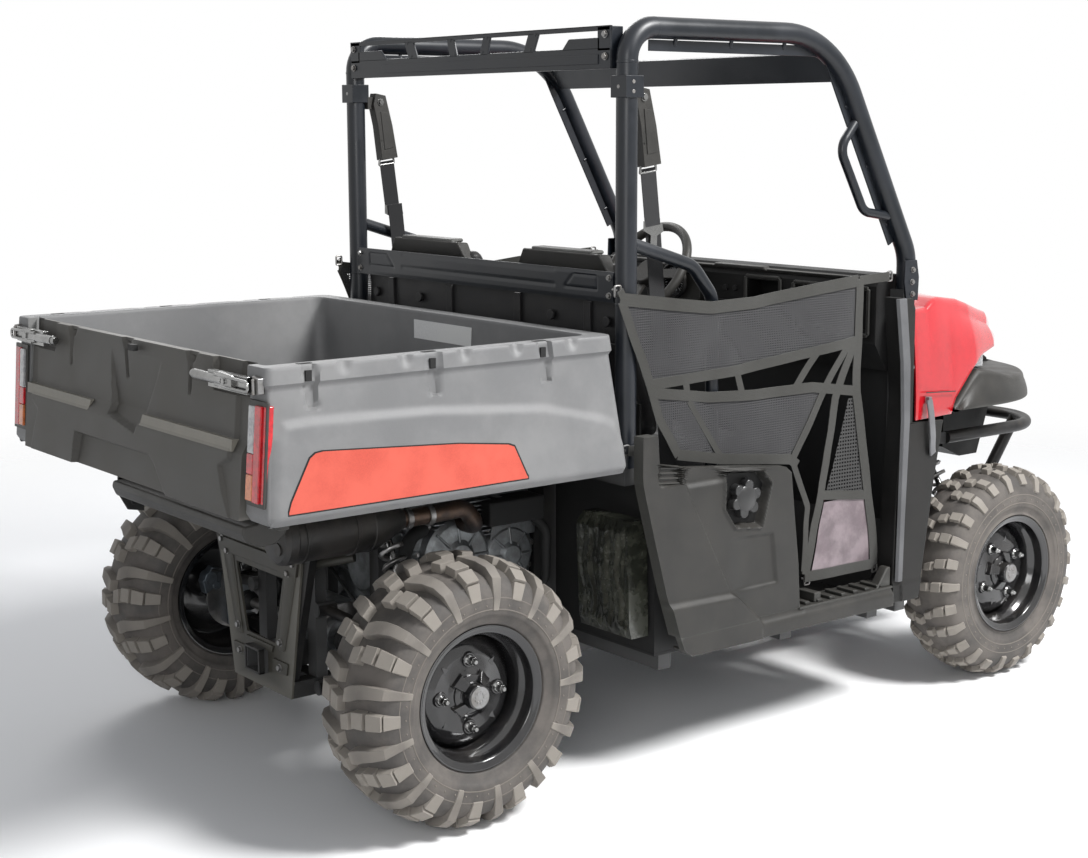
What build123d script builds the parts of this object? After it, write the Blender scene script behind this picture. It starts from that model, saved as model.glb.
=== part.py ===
"""Two-seat utility side by side vehicle with a tilting load bed.

Lengths are in millimetres.  The model is laid out with X = 0 at the rear axle, +X forward,
+Y to the vehicle's left and Z = 0 on the ground.  `save` moves each piece so that the origin
lies on the ground below the middle of the vehicle's length.
"""
from build123d import *
from math import sin, cos, radians
import os

# ---------------------------------------------------------------- driving dimensions
WHEELBASE = 1854.0
REAR_OVERHANG = 530.0            # rear axle to the tailgate's outer face
FRONT_OVERHANG = 410.0           # front axle to the front of the bumper
RUN = 0.1                        # radial clearance of a running fit
SEAT = 0.3                       # gap where one piece sits on another
MOVE = 6.0                       # gap round a moving panel

# wheels and tyres
REAR_TYRE_R = 310.0
REAR_TYRE_W = 252.0
REAR_TRACK = 571.0               # centreline to the middle of the rear tyre
REAR_RIM_HALF = 105.0
REAR_DISC = 49.0                 # rim disc outboard of the wheel's middle
FRONT_TYRE_R = 303.0
FRONT_TYRE_W = 190.0
FRONT_TRACK = 597.0
FRONT_RIM_HALF = 85.0
FRONT_DISC = 35.0
TYRE_SIDES = 20                  # flat facets round the carcass
TYRE_LUGS = 13                   # tread bars on each side of the crown
LUG_DEPTH = 20.0
LUG_WIDTH = 26.0
LUG_ANGLE = 25.0
CARCASS = 16.0                   # sidewall thickness
RIM_FLANGE_R = 166.6
BEAD_R = 152.0
RIM_SHEET = 5.0
LUG_CIRCLE_R = 78.0
LUG_COUNT = 4
LUG_NUT = 24.0
LUG_NUT_R = 9.0
REAR_FIRST_LUG = 0.0             # degrees from straight ahead
FRONT_FIRST_LUG = 30.0
SPINDLE_R = 16.0
HUB_R = 40.0
HUB_LENGTH = 70.0
KINGPIN_Y = 530.0
KINGPIN_R = 8.0
KNUCKLE_HALF = 75.0              # kingpin bore's half height
KINGPIN_BITE = 30.0              # ball pin's length inside the knuckle
ARM_RISE = 80.0                  # front bushings above and below the spindle

# lower frame
RAIL = 40.0                      # square frame tube
RAIL_BOTTOM = 206.0
LADDER_Y = 240.0                 # main rails' centre line
REAR_RAIL_Y = 120.0
FRONT_RAIL_Y = 190.0
LADDER_REAR_X = 480.0
LADDER_FRONT_X = WHEELBASE - 174
FLOOR_SHEET = 8.0
SIDE_Y = 680.0                   # outer face of the side panels
SIDE_DEPTH = 65.0                # side panels reach this far inboard
SILL_TOP = 345.0
PANEL = 6.0                      # moulded panel thickness

# rear frame and bed pivot
BED_RAIL_Y = 260.0
BED_RAIL_TOP = 740.0
PIVOT_X = -360.0
PIVOT_Z = 720.0
PIVOT_R = 14.0
REAR_PLATE_X = -175.0
POST_HALF = 15.0
BRACE = (20.0, 30.0)             # width and height of the rear braces' section

# load bed
BED_BOTTOM = 762.0
BED_TOP = 1086.0
BED_FLOOR = 32.0
BED_REAR_BOTTOM_X = -519.0
BED_REAR_TOP_X = -495.0
BED_FRONT_BOTTOM_X = 449.0
BED_FRONT_TOP_X = 407.0
BED_HALF_BOTTOM = 667.0
BED_HALF_TOP = 638.0
BED_WALL = 42.0
BED_FLOOR_HALF = 545.0
GATE_HALF = 560.0
GATE_THICK = 38.0
GATE_PIVOT_R = 7.0

# cab frame
CAB_Y = 584.0
CAB_TUBE_R = 25.4
ROOF_TOP = 1809.0
POST_X = 490.0
POST_BOTTOM = 760.0
PILLAR_X = WHEELBASE - 380.5
PILLAR_KNEE_Z = 1221.0
PILLAR_LEAN = 28.8
PILLAR_BOTTOM = 1128.0
REAR_ELBOW_R = 75.0
FRONT_ELBOW_R = 280.0

# seats, dash and steering
SEAT_Y = 295.0
SEAT_WIDTH = 430.0
SEAT_BASE_TOP = 640.0
SEAT_CUSHION_TOP = 770.0
SEAT_FRONT_X = 1080.0
SEAT_BASE_FRONT_X = 1002.0
SEAT_BASE_REAR_X = 560.0
SEAT_REAR_X = 640.0              # rear end of the seat cushion
BACK_SHEET_TOP = 900.0           # top of the sheet behind the seats
FIREWALL_X = WHEELBASE - 374
DASH_TOP = 1165.0
DASH_DEPTH = 88.0
WHEEL_CENTRE = (WHEELBASE - 544, 285.0, 1130.0)
COLUMN_SLOPE = 35.0
STEERING_R = 170.0
COLUMN_R = 22.0

# front body
HOOD_REAR_X = WHEELBASE - 426
HOOD_TOP_REAR_X = WHEELBASE - 354  # rear edge of the hood between its flanks
FLANK_LOW = 785.0                # bottom of the hood's flanks
FLANK_Y = 620.0                  # inner face of the flanks behind that edge
HOOD_PIVOT_X = WHEELBASE + 246
HOOD_PIVOT_Z = 945.0
BUMPER_R = 17.5
BUMPER_Y = 500.0
BUMPER_Z = 680.0

# running gear and frame details
REAR_KNUCKLE_Y = 425.0
BUSH_R = 18.0
ARM_R = 13.0
FRONT_ARM_SPREAD = 70.0          # front bushings stand this far each side of the axle
EYE_R = 16.0
COIL_R = 32.0
SHAFT_R = 14.0
REAR_POST_X = 90.0               # rear posts stand this far each side of the axle
TOWER_SHEET = 6.0
TOWER_HALF = 100.0               # half length of a front tower plate
TOWER_TOP = 700.0
TOWER_ARM_Y = 290.0
UPPER_RAIL_Z = (600.0, 640.0)
FRONT_RAIL_END = WHEELBASE + 236
STUB_X = (WHEELBASE - 414, WHEELBASE - 369)  # square stubs under the windscreen pillars
OUTRIGGER_Y = 608.0
FLOOR_TUBE_X = (600.0, 1020.0, WHEELBASE - 504, WHEELBASE - 392)
BED_PAD_X = (-120.0, 300.0)
ENGINE_X = (130.0, 478.0)
ENGINE_Y = (-230.0, 200.0)
ENGINE_BOTTOM = 300.0
ENGINE_TOP = 660.0
ENGINE_PAD_X = (200.0, 420.0)
MUFFLER_X = (-345.0, -75.0, 5.0)  # closed end, shoulder and neck
MUFFLER_Y = -370.0
MUFFLER_Z = 665.0
MUFFLER_R = 62.0
EXHAUST_R = 22.0
HITCH_X = -202.0
HITCH_OUT = 31.75
HITCH_IN = 25.6
HITCH_PIN_R = 8.0
HITCH_PIN_SET = 60.0             # pin hole ahead of the receiver's mouth
FINAL_DRIVE_HALF = 62.0          # half length of the rear gear housing

# cab and body details
FIREWALL_Y = 555.0
TOE_X = WHEELBASE - 470          # front end of the flat floor
COWL_REAR_X = WHEELBASE - 498
FUEL_CAP_XZ = (809.0, 655.0)
FUEL_RECESS = 30.0
FUEL_CAP_R = 42.0
FUEL_NECK_R = 28.0
STEER_PIN_R = 9.0
BOLSTER_R = 16.0
HANDLE_R = 12.0
HANDLE_POINTS = ((0.674, 25.0), (0.5, -114.0), (0.208, -109.0), (0.172, 12.0))  # share of pillar, reach
PANEL_LUG = 40.0
TOP_CUT_HALF = 520.0
NET_SHEET = 3.0
TOP_CUTS = 5
HOOD_PIN_R = 6.0
FASCIA_REAR_X = WHEELBASE + 106
FASCIA_Y = 329.7
FENDER_LOW = 797.0
FENDER_SHEET = 8.0
GRILLE_BARS = 6
GRILLE_Y = 240.0
GRILLE_Z = (640.0, 830.0)
BUMPER_BEND = 180.0
GATE_PIVOT_X = -503.0
GATE_PIVOT_Z = 784.0

MIDDLE_X = (WHEELBASE + FRONT_OVERHANG - REAR_OVERHANG) / 2
ROOF_Z = ROOF_TOP - CAB_TUBE_R
RAIL_TOP = RAIL_BOTTOM + RAIL
HITCH_Z = RAIL_TOP + SEAT + HITCH_OUT
FLOOR_BOTTOM = RAIL_TOP + RAIL + SEAT
FLOOR_Z = FLOOR_BOTTOM + FLOOR_SHEET
LINK_X = FIREWALL_X + FLOOR_SHEET + SEAT
HOOD_REACH = HOOD_PIVOT_X - HOOD_REAR_X
HOOD_SWING = (HOOD_REACH ** 2 + (HOOD_PIVOT_Z - FLANK_LOW) ** 2) ** 0.5 - HOOD_REACH
INNER_Y = SIDE_Y - SIDE_DEPTH - SEAT
SIDES = (("right", -1), ("left", 1))


# ---------------------------------------------------------------- helpers
def save(name, shape):
    """Write one sub-part, moved to the vehicle's origin."""
    export_step(Pos(-MIDDLE_X, 0, 0) * shape, f"parts/{name}.step")


def group(*shapes):
    """Separate solids that share one node."""
    solids = [solid for shape in shapes for solid in shape.solids()]
    return solids[0] if len(solids) == 1 else Compound(solids)


def block(x, y, z):
    """Box between two limits on each axis."""
    low = Vector(x[0], y[0], z[0])
    size = Vector(x[1], y[1], z[1]) - low
    return Pos(*(low + size * 0.5)) * Box(size.X, size.Y, size.Z)


def rod(start, end, radius):
    """Round bar between two points."""
    run = Vector(*end) - Vector(*start)
    return Part(Solid.make_cylinder(radius, run.length, Plane(origin=start, z_dir=run)).wrapped)


def bar(start, end, width, height):
    """Rectangular bar between two points, with its width level."""
    run = Vector(*end) - Vector(*start)
    level = Vector(0, 0, 1).cross(run).normalized()
    frame = Plane(origin=start, x_dir=level, z_dir=run)
    return extrude(frame * Rectangle(width, height), amount=run.length)


def pipe(points, bends, radius):
    """Round tube along straight runs joined by arcs."""
    path = FilletPolyline(*points, radius=bends)
    return sweep(Plane(origin=path @ 0, z_dir=path % 0) * Circle(radius), path=path)


def slab_y(outline, y_low, y_high):
    """Plate whose (x, z) outline runs across the vehicle."""
    face = make_face(Polyline(*[(x, y_low, z) for x, z in outline], close=True))
    return extrude(face, amount=y_high - y_low, dir=(0, 1, 0))


def slab_x(outline, x_low, x_high):
    """Plate whose (y, z) outline runs along the vehicle."""
    face = make_face(Polyline(*[(x_low, y, z) for y, z in outline], close=True))
    return extrude(face, amount=x_high - x_low, dir=(1, 0, 0))


def slab_z(outline, z_low, z_high):
    """Plate whose (x, y) outline runs upwards."""
    face = make_face(Polyline(*[(x, y, z_low) for x, y in outline], close=True))
    return extrude(face, amount=z_high - z_low, dir=(0, 0, 1))


def turned(profile, y_centre, z_centre, x_centre, side):
    """Solid of revolution about an axle; profile is (radius, distance outboard)."""
    face = make_face(Polyline(*[(radius, side * out, 0) for radius, out in profile], close=True))
    spun = revolve(face, axis=Axis.Y)
    return Pos(x_centre, side * y_centre, z_centre) * spun


def flip(shape):
    """The same piece on the other side of the vehicle."""
    return mirror(shape, about=Plane.XZ)


def both(shape):
    """A piece and its mirror image, as two solids."""
    return group(shape, flip(shape))


# ---------------------------------------------------------------- wheels
def facets(profile, sides):
    """Closed ring whose (radius, distance) section is carried round flat facets."""
    rings = []
    for i in range(sides):
        turn = radians(i * 360 / sides)
        rings.append([Vector(radius * sin(turn), out, -radius * cos(turn)) for radius, out in profile])
    faces = []
    for i, ring in enumerate(rings):
        following = rings[(i + 1) % sides]
        for j in range(len(profile)):
            k = (j + 1) % len(profile)
            faces.append(Face(Wire.make_polygon([ring[j], ring[k], following[k], following[j]])))
    return Solid(Shell(faces))


def tyre(axle_x, track, radius, width, rim_half, side):
    """Hollow faceted carcass with angled bar lugs from the crown to each shoulder."""
    half = width / 2
    crown = radius - LUG_DEPTH
    flat = 1 / cos(radians(180 / TYRE_SIDES))        # corner radius over facet radius
    bead = (BEAD_R + SEAT) * flat
    outer = [(bead, rim_half - 8), (RIM_FLANGE_R + 2, rim_half - 7.5), (radius - 80, half),
             (crown - 10, half - 10), (crown, half - 32)]
    inner = [(bead, rim_half - 24), (radius - 80, half - CARCASS), (crown - CARCASS, half - 44)]
    profile = outer + [(r, -y) for r, y in reversed(outer)] + [(r, -y) for r, y in inner] + inner[::-1]
    lugs = []
    for hand in (1, -1):
        for i in range(TYRE_LUGS):
            turn = (i + (hand < 0) / 2) * 360 / TYRE_LUGS
            lugs.append(Rot(0, turn, 0) * tread_bar(radius, half, hand * side))
    shape = facets(profile, TYRE_SIDES) + lugs
    return Pos(axle_x, side * track, radius) * shape


def tread_bar(radius, half, hand):
    """One lug at the bottom of the wheel, flat on the ground at its crown end."""
    middle, out = half * 0.45, half - 5
    outline = [(-3, radius - LUG_DEPTH - 6), (2, radius), (middle, radius), (out, radius - 16),
               (out - 3, radius - 2 * LUG_DEPTH)]
    points = [(-LUG_WIDTH / 2, hand * (y - middle / 2), -z) for y, z in outline]
    straight = extrude(make_face(Polyline(*points, close=True)), amount=LUG_WIDTH, dir=(1, 0, 0))
    return Pos(0, hand * middle / 2, 0) * Rot(0, 0, -hand * LUG_ANGLE) * straight


def rim(axle_x, track, axle_z, rim_half, disc, first_lug, side):
    """Steel rim with its dished disc, hub, cap and lug nuts."""
    drop = BEAD_R - 14
    bore = BEAD_R - RIM_SHEET
    outer = [(RIM_FLANGE_R, rim_half), (RIM_FLANGE_R, rim_half - 6), (BEAD_R, rim_half - 7.5),
             (BEAD_R, rim_half - 36), (drop, rim_half - 50)]
    inner = [(bore, rim_half), (bore, rim_half - 37), (drop - RIM_SHEET, rim_half - 51)]
    barrel = outer + [(r, -y) for r, y in reversed(outer)] + [(r, -y) for r, y in inner] + inner[::-1]
    face = disc + 3
    flat_r = LUG_CIRCLE_R + 16
    edge_r = drop - RIM_SHEET + 1
    dish = [(edge_r, disc - 34), (edge_r, disc - 28), (flat_r + 8, disc - 6), (flat_r, face),
            (HUB_R - 4, face), (HUB_R - 4, disc - 3), (flat_r, disc - 3), (flat_r + 6, disc - 12)]
    bore_r = SPINDLE_R + RUN
    hub = [(bore_r, face), (HUB_R, face), (HUB_R, face - HUB_LENGTH), (bore_r, face - HUB_LENGTH)]
    cap = [(0, face), (32, face), (30, face + 22), (18, face + 34), (0, face + 34)]
    wheel = turned(barrel, track, axle_z, axle_x, side)
    for profile in (dish, hub, cap):
        wheel = wheel + turned(profile, track, axle_z, axle_x, side)
    nut_low, nut_top = side * (track + disc), side * (track + face + LUG_NUT)
    for i in range(LUG_COUNT):
        turn = radians(first_lug + i * 360 / LUG_COUNT)
        x = axle_x + LUG_CIRCLE_R * cos(turn)
        z = axle_z + LUG_CIRCLE_R * sin(turn)
        wheel = wheel + rod((x, nut_low, z), (x, nut_top, z), LUG_NUT_R)
    return wheel


def front_knuckle(side):
    """Upright that turns on the arms' ball pins and carries the wheel's spindle."""
    inner, outer = KINGPIN_Y - 25, KINGPIN_Y + 18
    z = FRONT_TYRE_R
    upright = block((WHEELBASE - 25, WHEELBASE + 25), (inner, outer), (z - KNUCKLE_HALF, z + KNUCKLE_HALF))
    bore = rod((WHEELBASE, KINGPIN_Y, z - 200), (WHEELBASE, KINGPIN_Y, z + 200), KINGPIN_R + RUN)
    spindle = rod((WHEELBASE, outer - 1, z), (WHEELBASE, FRONT_TRACK + FRONT_DISC + 2, z), SPINDLE_R)
    shape = upright - bore + spindle
    return shape if side > 0 else flip(shape)


def rear_knuckles():
    z = REAR_TYRE_R
    upright = block((-30, 30), (REAR_KNUCKLE_Y, REAR_KNUCKLE_Y + 30), (z - KNUCKLE_HALF, z + KNUCKLE_HALF))
    spindle = rod((0, REAR_KNUCKLE_Y + 29, z), (0, REAR_TRACK + REAR_DISC + 2, z), SPINDLE_R)
    return both(upright + spindle)


# ---------------------------------------------------------------- suspension and drive
def arm(axle_x, inner_y, inner_z, outer_y, outer_z, spread):
    """A-arm: two bushings along the frame, two tubes and an outer eye along X."""
    outer = (axle_x, outer_y, outer_z)
    shape = rod((axle_x - 28, outer_y, outer_z), (axle_x + 28, outer_y, outer_z), BUSH_R - 2)
    for fore in (-1, 1):
        x = axle_x + fore * spread
        shape = shape + rod((x - 25, inner_y, inner_z), (x + 25, inner_y, inner_z), BUSH_R)
        shape = shape + rod((x, inner_y, inner_z), (axle_x + fore * 14, outer[1], outer[2]), ARM_R)
    return shape


def front_arms():
    """Upper and lower arms with the ball pins that hold the front knuckles."""
    arms = []
    for up, face_y in ((-1, FRONT_RAIL_Y + RAIL / 2), (1, FRONT_RAIL_Y + TOWER_SHEET / 2)):
        end_z = FRONT_TYRE_R + up * (KNUCKLE_HALF + SEAT)
        eye_z = end_z + up * (BUSH_R - 2)
        inner_y, inner_z = face_y + BUSH_R + SEAT, FRONT_TYRE_R + up * ARM_RISE
        shape = arm(WHEELBASE, inner_y, inner_z, KINGPIN_Y, eye_z, FRONT_ARM_SPREAD)
        knuckle_z = sorted((end_z, end_z - up * 60))
        shape = shape - block((WHEELBASE - 60, WHEELBASE + 60), (440, 600), knuckle_z)
        pin_end = (WHEELBASE, KINGPIN_Y, end_z - up * KINGPIN_BITE)
        shape = shape + rod((WHEELBASE, KINGPIN_Y, eye_z), pin_end, KINGPIN_R)
        arms.append(both(shape))
    return group(*arms)


def rear_arms():
    inner_y = REAR_RAIL_Y + RAIL / 2 + BUSH_R + SEAT
    outer_y = REAR_KNUCKLE_Y - SEAT - BUSH_R + 2
    lower = arm(0, inner_y, RAIL_BOTTOM + RAIL / 2, outer_y, REAR_TYRE_R - 58, REAR_POST_X)
    upper = arm(0, inner_y, REAR_TYRE_R + 110, outer_y, REAR_TYRE_R + 58, REAR_POST_X)
    return group(both(lower), both(upper))


def shock(axle_x, low_y, low_z, top_y, top_z):
    """Coil-over: eyes along X, damper rod and the coil's envelope."""
    low = Vector(axle_x, low_y, low_z)
    top = Vector(axle_x, top_y, top_z)
    run = top - low
    shape = rod((axle_x - 16, low_y, low_z), (axle_x + 16, low_y, low_z), EYE_R)
    shape = shape + rod((axle_x - 16, top_y, top_z), (axle_x + 16, top_y, top_z), EYE_R)
    shape = shape + rod(tuple(low), tuple(top), 11)
    return shape + rod(tuple(low + run * 0.2), tuple(low + run * 0.86), COIL_R)


def shocks():
    front_eye = FRONT_TYRE_R + KNUCKLE_HALF + 2 * BUSH_R - 4 + 2 * SEAT + EYE_R
    front = shock(WHEELBASE, KINGPIN_Y - 52, front_eye, TOWER_ARM_Y, TOWER_TOP - SEAT - EYE_R)
    rear_eye = REAR_TYRE_R + 58 + BUSH_R - 2 + SEAT + EYE_R
    rear = shock(0, REAR_KNUCKLE_Y - BUSH_R, rear_eye, BED_RAIL_Y, BED_RAIL_TOP - RAIL - SEAT - EYE_R)
    return group(both(front), both(rear))


def final_drives():
    """Gear housings on the frame at each axle."""
    low = RAIL_TOP + SEAT
    half = FINAL_DRIVE_HALF
    rear = block((-half, half), (-70, 70), (low, low + 150))
    rear = rear + rod((half, 0, REAR_TYRE_R), (half + 56, 0, REAR_TYRE_R), 34)
    front = block((WHEELBASE - 55, WHEELBASE + 55), (-90, 90), (low, low + 120))
    return group(fillet(rear.edges().filter_by(Axis.Y), 18), fillet(front.edges().filter_by(Axis.Y), 18))


def drive_shafts():
    rear = rod((0, 70 + SEAT, REAR_TYRE_R), (0, REAR_KNUCKLE_Y - SEAT, REAR_TYRE_R), SHAFT_R)
    front = rod((WHEELBASE, 90 + SEAT, FRONT_TYRE_R), (WHEELBASE, KINGPIN_Y - 40, FRONT_TYRE_R), SHAFT_R)
    return group(both(rear), both(front))


def engine_block():
    shape = block(ENGINE_X, ENGINE_Y, (ENGINE_BOTTOM, ENGINE_TOP))
    return fillet(shape.edges(), 14)


def exhaust():
    """Muffler over the right rear wheel's inner side, with its pipe to the engine."""
    y, z = MUFFLER_Y, MUFFLER_Z
    end, shoulder, neck = MUFFLER_X
    can = [(0, end), (MUFFLER_R - 12, end), (MUFFLER_R, end + 12), (MUFFLER_R, shoulder), (EXHAUST_R, neck),
           (0, neck)]
    face = make_face(Polyline(*[(x, r, 0) for r, x in can], close=True))
    muffler = Pos(0, y, z) * revolve(face, axis=Axis.X)
    pipe_end = (ENGINE_X[0] + 110, ENGINE_Y[0] - SEAT, z - 60)
    route = [(neck - 2, y, z), (80, y, z), (180, y + 10, z), (pipe_end[0], y + 40, z - 60), pipe_end]
    tail = pipe(route, [60, 80, 60], EXHAUST_R)
    hanger = block((-200, -170), (y, -BED_RAIL_Y - RAIL / 2 - SEAT), (z + 30, BED_RAIL_TOP - 8))
    return muffler + tail + hanger


# ---------------------------------------------------------------- frame
def lower_frame():
    """Main rails of the ladder with the cross member at each end."""
    half = RAIL / 2
    z = (RAIL_BOTTOM, RAIL_TOP)
    rear_reach, front_reach = BED_RAIL_Y + half, LADDER_Y + half
    shape = block((LADDER_REAR_X, LADDER_REAR_X + RAIL), (-rear_reach, rear_reach), z)
    shape = shape + block((LADDER_FRONT_X - RAIL, LADDER_FRONT_X), (-front_reach, front_reach), z)
    for side in (-1, 1):
        middle = side * LADDER_Y
        shape = shape + block((LADDER_REAR_X, LADDER_FRONT_X), (middle - half, middle + half), z)
    return shape


def rail_pair(x, rail_y, cross_x):
    """Two rails that butt against the ladder, with cross tubes at the axle."""
    half = RAIL / 2
    z = (RAIL_BOTTOM, RAIL_TOP)
    shape = block((cross_x[0] - half, cross_x[0] + half), (-rail_y, rail_y), z)
    for middle in cross_x[1:]:
        shape = shape + block((middle - half, middle + half), (-rail_y, rail_y), z)
    for side in (-1, 1):
        middle = side * rail_y
        shape = shape + block(x, (middle - half, middle + half), z)
    return shape


def rear_rails():
    """Narrow rails over the rear axle with the engine's pads."""
    half = RAIL / 2
    x = (REAR_PLATE_X + TOWER_SHEET / 2 + SEAT, LADDER_REAR_X - SEAT)
    shape = rail_pair(x, REAR_RAIL_Y, (-REAR_POST_X, REAR_POST_X))
    for middle in ENGINE_PAD_X:
        for side in (-1, 1):
            pad_y = (side * REAR_RAIL_Y - half, side * REAR_RAIL_Y + half)
            shape = shape + block((middle - half, middle + half), pad_y, (RAIL_TOP, ENGINE_BOTTOM - SEAT))
    return shape


def front_rails():
    return rail_pair((LADDER_FRONT_X + SEAT, FRONT_RAIL_END), FRONT_RAIL_Y, (WHEELBASE,))


def floor_tubes():
    """Cross tubes on the ladder that carry the floor out to the side panels."""
    half = RAIL / 2
    z = (RAIL_TOP + SEAT, RAIL_TOP + RAIL)
    return group(*[block((x - half, x + half), (-OUTRIGGER_Y, OUTRIGGER_Y), z) for x in FLOOR_TUBE_X])


def rear_frame():
    """Bed rails on posts, with the tube that the bed tilts on."""
    half = RAIL / 2
    rail_low = BED_RAIL_TOP - RAIL
    front_x = LADDER_REAR_X + RAIL
    reach = BED_RAIL_Y + half
    shape = rod((PIVOT_X, -reach, PIVOT_Z), (PIVOT_X, reach, PIVOT_Z), PIVOT_R)
    for x in (-REAR_POST_X, REAR_POST_X):
        shape = shape + block((x - POST_HALF, x + POST_HALF), (-reach, reach), (rail_low - 30, rail_low))
    for side in (-1, 1):
        rail_y = sorted((side * (BED_RAIL_Y - half), side * (BED_RAIL_Y + half)))
        shape = shape + block((PIVOT_X - 14, front_x), rail_y, (rail_low, BED_RAIL_TOP))
        shape = shape + block((LADDER_REAR_X, front_x), rail_y, (RAIL_TOP + SEAT, BED_RAIL_TOP))
        for x in BED_PAD_X:
            shape = shape + block((x - 20, x + 20), rail_y, (BED_RAIL_TOP, BED_BOTTOM - SEAT))
        for x in (-REAR_POST_X, REAR_POST_X):
            post_y = sorted((side * (REAR_RAIL_Y - half), side * (REAR_RAIL_Y + half)))
            shape = shape + block((x - POST_HALF, x + POST_HALF), post_y, (RAIL_TOP + SEAT, rail_low))
        brace_x = REAR_PLATE_X + TOWER_SHEET / 2 + SEAT + BRACE[0] / 2
        brace_low = (brace_x, side * REAR_RAIL_Y, RAIL_TOP + SEAT)
        shape = shape + bar(brace_low, (brace_x, side * BED_RAIL_Y, rail_low + 5), *BRACE)
        arm_y = sorted((side * (BED_RAIL_Y + half), side * (CAB_Y + CAB_TUBE_R)))
        shape = shape + block((POST_X - 24, POST_X + 24), arm_y, (POST_BOTTOM - RAIL, POST_BOTTOM - SEAT))
    return shape - block((brace_x - 40, brace_x + 40), (-400, 400), (RAIL_TOP - 60, RAIL_TOP + SEAT))


def front_frame():
    """Suspension towers, upper rails and the stubs that carry the windscreen pillars."""
    half = RAIL / 2
    sheet = TOWER_SHEET / 2
    reach = TOWER_ARM_Y + half
    shape = block((WHEELBASE - 30, WHEELBASE + 30), (-reach, reach), (TOWER_TOP, TOWER_TOP + RAIL))
    tower_x = (WHEELBASE - TOWER_HALF, WHEELBASE + TOWER_HALF)
    for side in (-1, 1):
        tower_y = sorted((side * (FRONT_RAIL_Y - sheet), side * (FRONT_RAIL_Y + sheet)))
        shape = shape + block(tower_x, tower_y, (RAIL_TOP + SEAT, TOWER_TOP + 1))
        hole = [(WHEELBASE, side * (FRONT_RAIL_Y + reach), FRONT_TYRE_R) for reach in (-10, 10)]
        shape = shape - rod(*hole, SHAFT_R + 8)
        rail_y = sorted((side * (FRONT_RAIL_Y - sheet), side * (FRONT_RAIL_Y - sheet - RAIL)))
        shape = shape + block((LINK_X, FASCIA_REAR_X - SEAT), rail_y, UPPER_RAIL_Z)
        stub_y = sorted((side * (CAB_Y - 23), side * (CAB_Y + 23)))
        shape = shape + block(STUB_X, stub_y, (RAIL_TOP + RAIL + SEAT, PILLAR_BOTTOM - SEAT))
        shape = shape + block((STUB_X[1] - 1, LINK_X + 1), stub_y, UPPER_RAIL_Z)
    return shape + block((LINK_X, LINK_X + RAIL), (-CAB_Y - 23, CAB_Y + 23), UPPER_RAIL_Z)


def rear_frame_plate():
    """Stamped plate across the rear braces, cut round the hitch receiver."""
    x = (REAR_PLATE_X - TOWER_SHEET / 2, REAR_PLATE_X + TOWER_SHEET / 2)
    shape = slab_x(mirrored_trapezium(140, RAIL_BOTTOM, 205, 560), *x)
    window = slab_x(mirrored_trapezium(70, 330, 115, 500), *x)
    reach = HITCH_OUT + SEAT
    return shape - window - block(x, (-reach, reach), (HITCH_Z - reach, HITCH_Z + reach))


def mirrored_trapezium(low_half, low, top_half, top):
    return [(-low_half, low), (low_half, low), (top_half, top), (-top_half, top)]


def hitch_receiver():
    """Square receiver tube with its cross pin hole."""
    x = (HITCH_X, -FINAL_DRIVE_HALF - SEAT)
    tube = block(x, (-HITCH_OUT, HITCH_OUT), (HITCH_Z - HITCH_OUT, HITCH_Z + HITCH_OUT))
    tube = tube - block(x, (-HITCH_IN, HITCH_IN), (HITCH_Z - HITCH_IN, HITCH_Z + HITCH_IN))
    pin_x = HITCH_X + HITCH_PIN_SET
    return tube - rod((pin_x, -HITCH_OUT - 1, HITCH_Z), (pin_x, HITCH_OUT + 1, HITCH_Z), HITCH_PIN_R)


def front_bumper():
    """Bent bar round the nose on two down tubes, with its foot plate on the front rails."""
    front = WHEELBASE + FRONT_OVERHANG - BUMPER_R
    rear = WHEELBASE - 90
    corners = ((rear, BUMPER_Y), (front, BUMPER_Y), (front, -BUMPER_Y), (rear, -BUMPER_Y))
    hoop = [(x, y, BUMPER_Z) for x, y in corners]
    shape = pipe(hoop, BUMPER_BEND, BUMPER_R)
    foot_x = FRONT_RAIL_END + SEAT
    shape = shape + block((foot_x, foot_x + 10), (-220, 220), (RAIL_BOTTOM, RAIL_TOP + 54))
    for side in (-1, 1):
        down = [(front - 10, side * 380, BUMPER_Z), (front - 86, side * 340, 500),
                (foot_x + 21, side * FRONT_RAIL_Y, RAIL_TOP + 16)]
        shape = shape + pipe(down, 120, BUMPER_R)
        tab_y = sorted((side * (BUMPER_Y - 3), side * (BUMPER_Y + 3)))
        shape = shape + block((rear - 150, rear + 10), tab_y, (BUMPER_Z - 16, BUMPER_Z + 16))
    return shape


# ---------------------------------------------------------------- cab
def floor_pan():
    """Recessed floor with side upstands, toe board and firewall."""
    sheet = FLOOR_SHEET
    floor = block((SEAT_BASE_REAR_X, TOE_X), (-INNER_Y, INNER_Y), (FLOOR_BOTTOM, FLOOR_Z))
    toe = slab_y([(TOE_X - 4, FLOOR_BOTTOM), (TOE_X + sheet, FLOOR_BOTTOM), (FIREWALL_X + sheet, 480),
                  (FIREWALL_X + sheet, 1100), (FIREWALL_X, 1100), (FIREWALL_X, 484), (TOE_X - 4, FLOOR_Z)],
                 -FIREWALL_Y, FIREWALL_Y)
    shape = floor + toe
    for side in (-1, 1):
        edge = sorted((side * (INNER_Y - sheet), side * INNER_Y))
        shape = shape + block((SEAT_BASE_FRONT_X + SEAT, TOE_X), edge, (FLOOR_BOTTOM, SILL_TOP))
    return shape


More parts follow.
